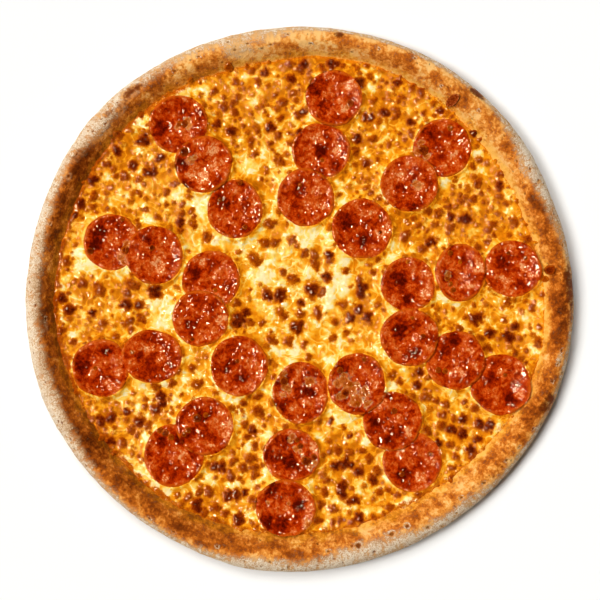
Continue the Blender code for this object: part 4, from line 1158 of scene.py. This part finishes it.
def pepperoni_finish():
    """Cured sausage: orange-red meat, crumbs of salmon fat, darker hollows partly as painted shade, a
    greasy shine.
    """
    finish = Finish("cured_pepperoni", Specular_IOR_Level=0.0, Coat_Weight=0.9, Coat_Roughness=0.03)
    fine = finish.grain(0.8 * MM, detail=3.0, roughness=0.65)
    flecks = finish.grain(2.2 * MM, detail=4.0, roughness=0.6, distortion=0.4)
    clouds = finish.grain(7.0 * MM, detail=3.0)
    crumbs = finish.cells(1.7 * MM)
    wet_places = finish.span(finish.grain(8.0 * MM, detail=1.0), 0.4, 0.6, 0.4, 1.0)
    beads = finish.times(finish.grain(2.1 * MM, detail=0.0), wet_places)
    fatty_and_lit = finish.sum(finish.field("fat_and_highlight"), finish.span(clouds, 0.45, 0.75, 0.0, 0.5))
    crumb = finish.times(finish.span(crumbs, 0.15, 0.5, 1.0, 0.0), fatty_and_lit)
    # Fat adds painted highlight and dark adds painted shade to the meat's colour, as well as real fat and
    # meat
    redness = finish.sum(0.52, finish.times(finish.field("fat_and_highlight"), 0.22),
                         finish.times(crumb, 0.32),
                         finish.times(finish.field("dark_and_shade"), -0.34),
                         finish.span(clouds, 0.3, 0.7, -0.24, 0.18),
                         finish.span(flecks, 0.3, 0.7, -0.18, 0.20),
                         finish.sway(fine, 0.04))
    colour = finish.shades(redness, (0.0, "#560A00"), (0.28, "#8E1A00"), (0.52, "#C03400"),
                           (0.76, "#DE5F1A"), (1.0, "#F8A468"))
    colour = finish.cover(finish.span(finish.field("edge"), 0.1, 1.0, 0.0, 0.75), colour, "#D8600E")
    film = finish.sum(finish.field("film"), finish.sway(fine, 0.12))
    cheesy = finish.shades(finish.sum(film, finish.sway(flecks, 0.3)),
                           (0.2, "#FAD6A0"), (0.5, "#EE9C50"), (0.8, "#CC7428"), (1.0, "#A84C10"))
    colour = finish.cover(finish.span(film, 0.08, 0.75, 0.0, 0.7), colour, cheesy)
    skin = finish.bump(finish.sum(finish.times(flecks, 1.5), fine), 0.7 * MM)
    wet = finish.bump(beads, 0.85 * MM)
    return finish.set(Base_Color=colour, Roughness=finish.span(flecks, 0.3, 0.7, 0.4, 0.6),
                      Normal=skin, Coat_Normal=wet)


pepperoni_paint = pepperoni_finish()
for piece in slices:
    disc = slice_piece(piece)
    disc.data.materials.append(pepperoni_paint)
    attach(disc, "root")
    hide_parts(f"pepperoni_{piece.number:02d}")

# Bubbles of cheese on the slices and the rim
# Cheese that melted onto the slices, and a little on the rim's slope, has puffed into small
# bubbles there. They have browned like those on the rest.
# Bubbles in photo pixels: column, row, radius, and how far browned
BUBBLES = (
    (184, 124, 3.6, .85), (179, 124, 2.6, .7), (184, 152, 4.4, 1), (220, 200, 2.4, .85),
    (245, 227, 2.4, .8), (240, 183, 2.4, .8), (90, 251, 3.2, .85), (122, 219, 2.6, .7),
    (125, 250, 4, .75), (152, 248, 2.7, .95), (192, 339, 2.2, .9), (350, 103, 3.6, .85),
    (423, 150, 5, .9), (450, 128, 3, .7), (450, 253, 2.7, .7), (447, 279, 2.6, .7), (450, 284, 2.6, .6),
    (453, 290, 2.6, .7), (525, 258, 2.3, .9), (508, 253, 2, .7), (423, 336, 2.3, .9), (438, 370, 3.1, .7),
    (445, 371, 2.7, .7), (505, 375, 2.2, .8), (284, 381, 4.2, .85), (340, 370, 3.2, .85),
    (364, 359, 2.6, .7), (345, 393, 3.6, .9), (350, 384, 2.6, .6), (357, 404, 2.6, .6),
    (394, 411, 3.2, .85), (402, 474, 2.7, .85), (430, 454, 2.6, .7), (237, 361, 2.2, .9),
    (197, 418, 4.2, 1), (206, 415, 2.7, .7), (188, 430, 3.1, .7), (184, 434, 2.6, .7),
    (160, 430, 3.1, .7), (165, 433, 3.6, .85), (171, 437, 3.1, .7), (297, 440, 2.6, .7),
    (300, 446, 3, .9), (306, 461, 4.6, 1), (314, 457, 3.1, .85), (380, 217, 2.2, .8), (380, 232, 2, .8),
    (132, 352, 2.2, .6), (95, 368, 2, .6), (460, 262, 2, .6), (322, 160, 2.2, .6), (300, 185, 2, .6),
    (215, 290, 2.2, .6), (408, 262, 2.2, .6), (412, 318, 2, .6), (549, 270, 4.6, .9), (229, 68, 4.2, .55),
    (118, 135, 4.2, .6), (141, 115, 3.2, .6), (545, 279, 3, .55))
BUBBLE_STEPS = 36
BUBBLE_RINGS = 9
BUBBLE_SINK = 0.25 * MM
BUBBLE_RISE = 0.5
BUBBLE_RAGGED = (2.2 * MM, 0.22)


def top_of_slices(x, y):
    """Height of the uppermost slice's top over (x, y), or of the cheese where there is none."""
    height = bed_height(x, y)
    for piece in slices:
        gap = piece.outside(x, y)
        share = np.clip(1.0 + gap / piece.half_width, 0.0, 1.0)
        top = piece.underside(x, y) + SLICE_THICKNESS + slice_relief(piece, x, y, share)[0]
        height = np.where(gap < 0.0, np.maximum(height, top), height)
    return height


def bubbles_piece():
    """All the bubbles of cheese on the slices and the rim, joined."""
    angle = turns(BUBBLE_STEPS)
    share = np.linspace(0.0, 1.0, BUBBLE_RINGS + 1)[1:]
    turn, ring = (values.ravel() for values in np.meshgrid(angle, share))
    spread = np.append(ring, 0.0)
    cap = np.sqrt(1.0 - spread ** 2)
    tuck = BUBBLE_SINK * smooth((spread - 0.85) / 0.15)
    x, y, lift, faces, bake_and_shade, meat = [], [], [], [], [], []
    for column, row, size, browned in BUBBLES:
        px, py = on_pizza(column, row)
        radius = size * PHOTO_PIXEL
        outline = np.stack([px + radius * np.cos(turn), py + radius * np.sin(turn), 0.0 * turn],
                           axis=-1)
        uneven = 1.1 + BUBBLE_RAGGED[1] * lumps(outline, BUBBLE_RAGGED[0])
        reach = radius * uneven * ring
        start = len(x)
        x.extend([*(px + reach * np.cos(turn)), px, px])
        y.extend([*(py + reach * np.sin(turn)), py, py])
        lift.extend([*(BUBBLE_RISE * radius * cap - tuck), -2.0 * BUBBLE_SINK])
        centre = start + BUBBLE_RINGS * BUBBLE_STEPS
        last = start + (BUBBLE_RINGS - 1) * BUBBLE_STEPS
        faces.extend(grid_faces(BUBBLE_RINGS, BUBBLE_STEPS, start))
        faces.extend(end_faces(BUBBLE_STEPS, centre, start, centre + 1, last))
        bake_and_shade.extend([*(browned * (0.95 - 0.5 * smooth((spread - 0.35) / 0.65))), 0.0])
        meat.extend([*(0.9 * smooth((spread - 0.8) / 0.2)), 0.0])
    x, y = np.array(x), np.array(y)
    points = np.column_stack([x, y, top_of_slices(x, y) + lift])
    fields = {"bake_and_shade": bake_and_shade, "meat": meat, "pale_and_highlight": 0.0 * x, "grease_and_shade": 0.5 + 0.0 * x}
    return build_mesh("cheese_bubbles", points, faces, fields)


bubbles = bubbles_piece()
bubbles.data.materials.append(cheese_paint)
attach(bubbles, "root")

# The scrap on the rim
# A torn end of a slice that landed on the rim's inner slope. Thinner than the rest, it has
# curled and browned at both ends.
SCRAP_PLACE = (95.8 * MM, 127.4 * MM)
SCRAP_HALF_LENGTH = 4.8 * MM
SCRAP_HALF_WIDTH = 2.9 * MM
SCRAP_TURN = 0.75
SCRAP_THICKNESS = 1.2 * MM
SCRAP_CURL = 0.5 * MM
SCRAP_LUMPS = (1.6 * MM, 0.18 * MM)
SCRAP_ROUNDING = 0.25 * MM
SCRAP_SINK = 0.1 * MM
SCRAP_STEPS = 48
SCRAP_RINGS = 12


def scrap_piece():
    """Small oval scrap with a raised rim and a creased top."""
    share = np.concatenate([np.linspace(0.0, 1.0, SCRAP_RINGS + 1)[1:], [1.0, 1.0, 0.5]])
    level = np.concatenate([np.ones(SCRAP_RINGS), [0.5, 0.0, 0.0]])
    turn, ring = np.meshgrid(turns(SCRAP_STEPS), share)
    lift = np.append(np.repeat(level[:, None], SCRAP_STEPS, axis=1).ravel(), (1.0, 0.0))
    ring = np.append(ring.ravel(), (0.0, 0.0))
    turn = np.append(turn.ravel(), (0.0, 0.0))
    along = SCRAP_HALF_LENGTH * ring * np.cos(turn)
    across = SCRAP_HALF_WIDTH * ring * np.sin(turn)
    x = SCRAP_PLACE[0] + along * cos(SCRAP_TURN) - across * sin(SCRAP_TURN)
    y = SCRAP_PLACE[1] + along * sin(SCRAP_TURN) + across * cos(SCRAP_TURN)
    curl = SCRAP_CURL * (along / SCRAP_HALF_LENGTH) ** 2
    grain = lumps(np.column_stack([x, y, lift * 0.0]), SCRAP_LUMPS[0], 4.0)
    edge = smooth((ring - 0.6) / 0.4)
    creases = SCRAP_LUMPS[1] * grain - SCRAP_ROUNDING * smooth((ring - 0.9) / 0.1)
    top = SCRAP_THICKNESS * (0.75 + 0.25 * edge) + creases
    height = cheese_height(x, y) + curl - SCRAP_SINK + lift * top
    points = np.column_stack([x, y, height])
    faces = grid_faces(len(share), SCRAP_STEPS)
    last = (len(share) - 1) * SCRAP_STEPS
    faces.extend(end_faces(SCRAP_STEPS, len(points) - 2, 0, len(points) - 1, last))
    return build_mesh("browned_scrap", points, faces, {"edge": edge * lift})


def scrap_finish():
    """Meat dried and browned by the heat, lighter towards its curled edge as painted highlight."""
    finish = Finish("browned_meat", Specular_IOR_Level=0.0, Coat_Weight=0.5, Coat_Roughness=0.1)
    fine = finish.grain(1.2 * MM, detail=3.0)
    # Painted highlight: the curled edge is lighter
    curl_highlight = finish.span(finish.field("edge"), 0.3, 1.0, 0.0, 0.3)
    baked_with_painted_light = finish.sum(finish.span(fine, 0.3, 0.7, 0.0, 0.7), curl_highlight)
    colour = finish.shades(baked_with_painted_light, (0.0, "#6A2004"), (0.45, "#9A3C0C"), (0.8, "#C0602A"),
                           (1.0, "#D08850"))
    return finish.set(Base_Color=colour, Roughness=0.6, Normal=finish.bump(fine, 0.5 * MM))


scrap = scrap_piece()
scrap.data.materials.append(scrap_finish())
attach(scrap, "root")
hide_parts("rim_scrap")

# Floor, lights and camera
# A plain white sheet under the pizza, a soft lamp on the left, a weaker one towards the top, a
# small one that makes the grease glint, and the camera straight above.
FLOOR_HALF = 2.0
FLOOR_DROP = 0.2 * MM
CAMERA_LENS = 150.0
SENSOR = 36.0
FOCUS_LEVEL = 10.0 * MM
PHOTO_WIDTH = 600.0
PHOTO_CENTRE = (300.0, 300.0)
# Each lamp: where it shines from (degrees round and up), strength, softness in degrees, colour
KEY_LAMP = ((180.0, 60.0), 2.3, 24.0, (1.0, 0.99, 0.96))
FILL_LAMP = ((112.0, 60.0), 1.7, 30.0, (1.0, 0.99, 0.96))
GLINT_LAMP = ((180.0, 60.0), 2.4, 12.0, (1.0, 0.79, 0.48))
WALL_LIGHT = 0.60
CEILING_LIGHT = 0.08

floor_mesh = bpy.data.meshes.new("floor")
floor_mesh.from_pydata([(-FLOOR_HALF, -FLOOR_HALF, 0), (FLOOR_HALF, -FLOOR_HALF, 0),
                        (FLOOR_HALF, FLOOR_HALF, 0), (-FLOOR_HALF, FLOOR_HALF, 0)], [], [(0, 1, 2, 3)])
floor = bpy.data.objects.new("floor", floor_mesh)
bpy.context.scene.collection.objects.link(floor)
floor.location.z = -FLOOR_DROP
floor_paint = Finish("white_sheet", Roughness=0.9, Specular_IOR_Level=0.0)
floor_mesh.materials.append(floor_paint.set(Base_Color=tone("#F6F6F6")))


def add_lamp(name, direction, strength, softness, colour):
    """Distant lamp shining from a compass direction and a height, both in degrees."""
    lamp = bpy.data.lights.new(name, "SUN")
    lamp.energy = strength
    lamp.angle = radians(softness)
    lamp.color = colour
    around, up = (radians(value) for value in direction)
    aim = Vector((-cos(up) * cos(around), -cos(up) * sin(around), -sin(up)))
    holder = bpy.data.objects.new(name, lamp)
    holder.rotation_euler = aim.to_track_quat("-Z", "Y").to_euler()
    bpy.context.scene.collection.objects.link(holder)
    return holder


# The soft lamps light the food without showing in its grease; the small one only makes glints
add_lamp("left_lamp", *KEY_LAMP).visible_glossy = False
add_lamp("top_lamp", *FILL_LAMP).visible_glossy = False
add_lamp("glint_lamp", *GLINT_LAMP).visible_diffuse = False

world = bpy.data.worlds.new("studio")
world.use_nodes = True
sky = world.node_tree.nodes
upward = sky.new("ShaderNodeSeparateXYZ")
fade = sky.new("ShaderNodeMapRange")
world.node_tree.links.new(sky.new("ShaderNodeTexCoord").outputs["Generated"], upward.inputs[0])
world.node_tree.links.new(upward.outputs["Z"], fade.inputs["Value"])
world.node_tree.links.new(fade.outputs["Result"], sky["Background"].inputs["Strength"])
fade.inputs["To Min"].default_value = WALL_LIGHT
fade.inputs["To Max"].default_value = CEILING_LIGHT
world.cycles_visibility.glossy = False
bpy.context.scene.world = world
bpy.context.scene.view_settings.view_transform = "Standard"

lens = bpy.data.cameras.new("camera")
lens.sensor_width = SENSOR
lens.lens = CAMERA_LENS
camera = bpy.data.objects.new("camera", lens)
camera_x, camera_y = on_pizza(*PHOTO_CENTRE)
frame_width = PHOTO_WIDTH * PHOTO_PIXEL
camera_distance = frame_width * CAMERA_LENS / SENSOR
camera.location = (camera_x - pizza_middle[0], camera_y - pizza_middle[1],
                   FOCUS_LEVEL + camera_distance)
bpy.context.scene.collection.objects.link(camera)
bpy.context.scene.camera = camera
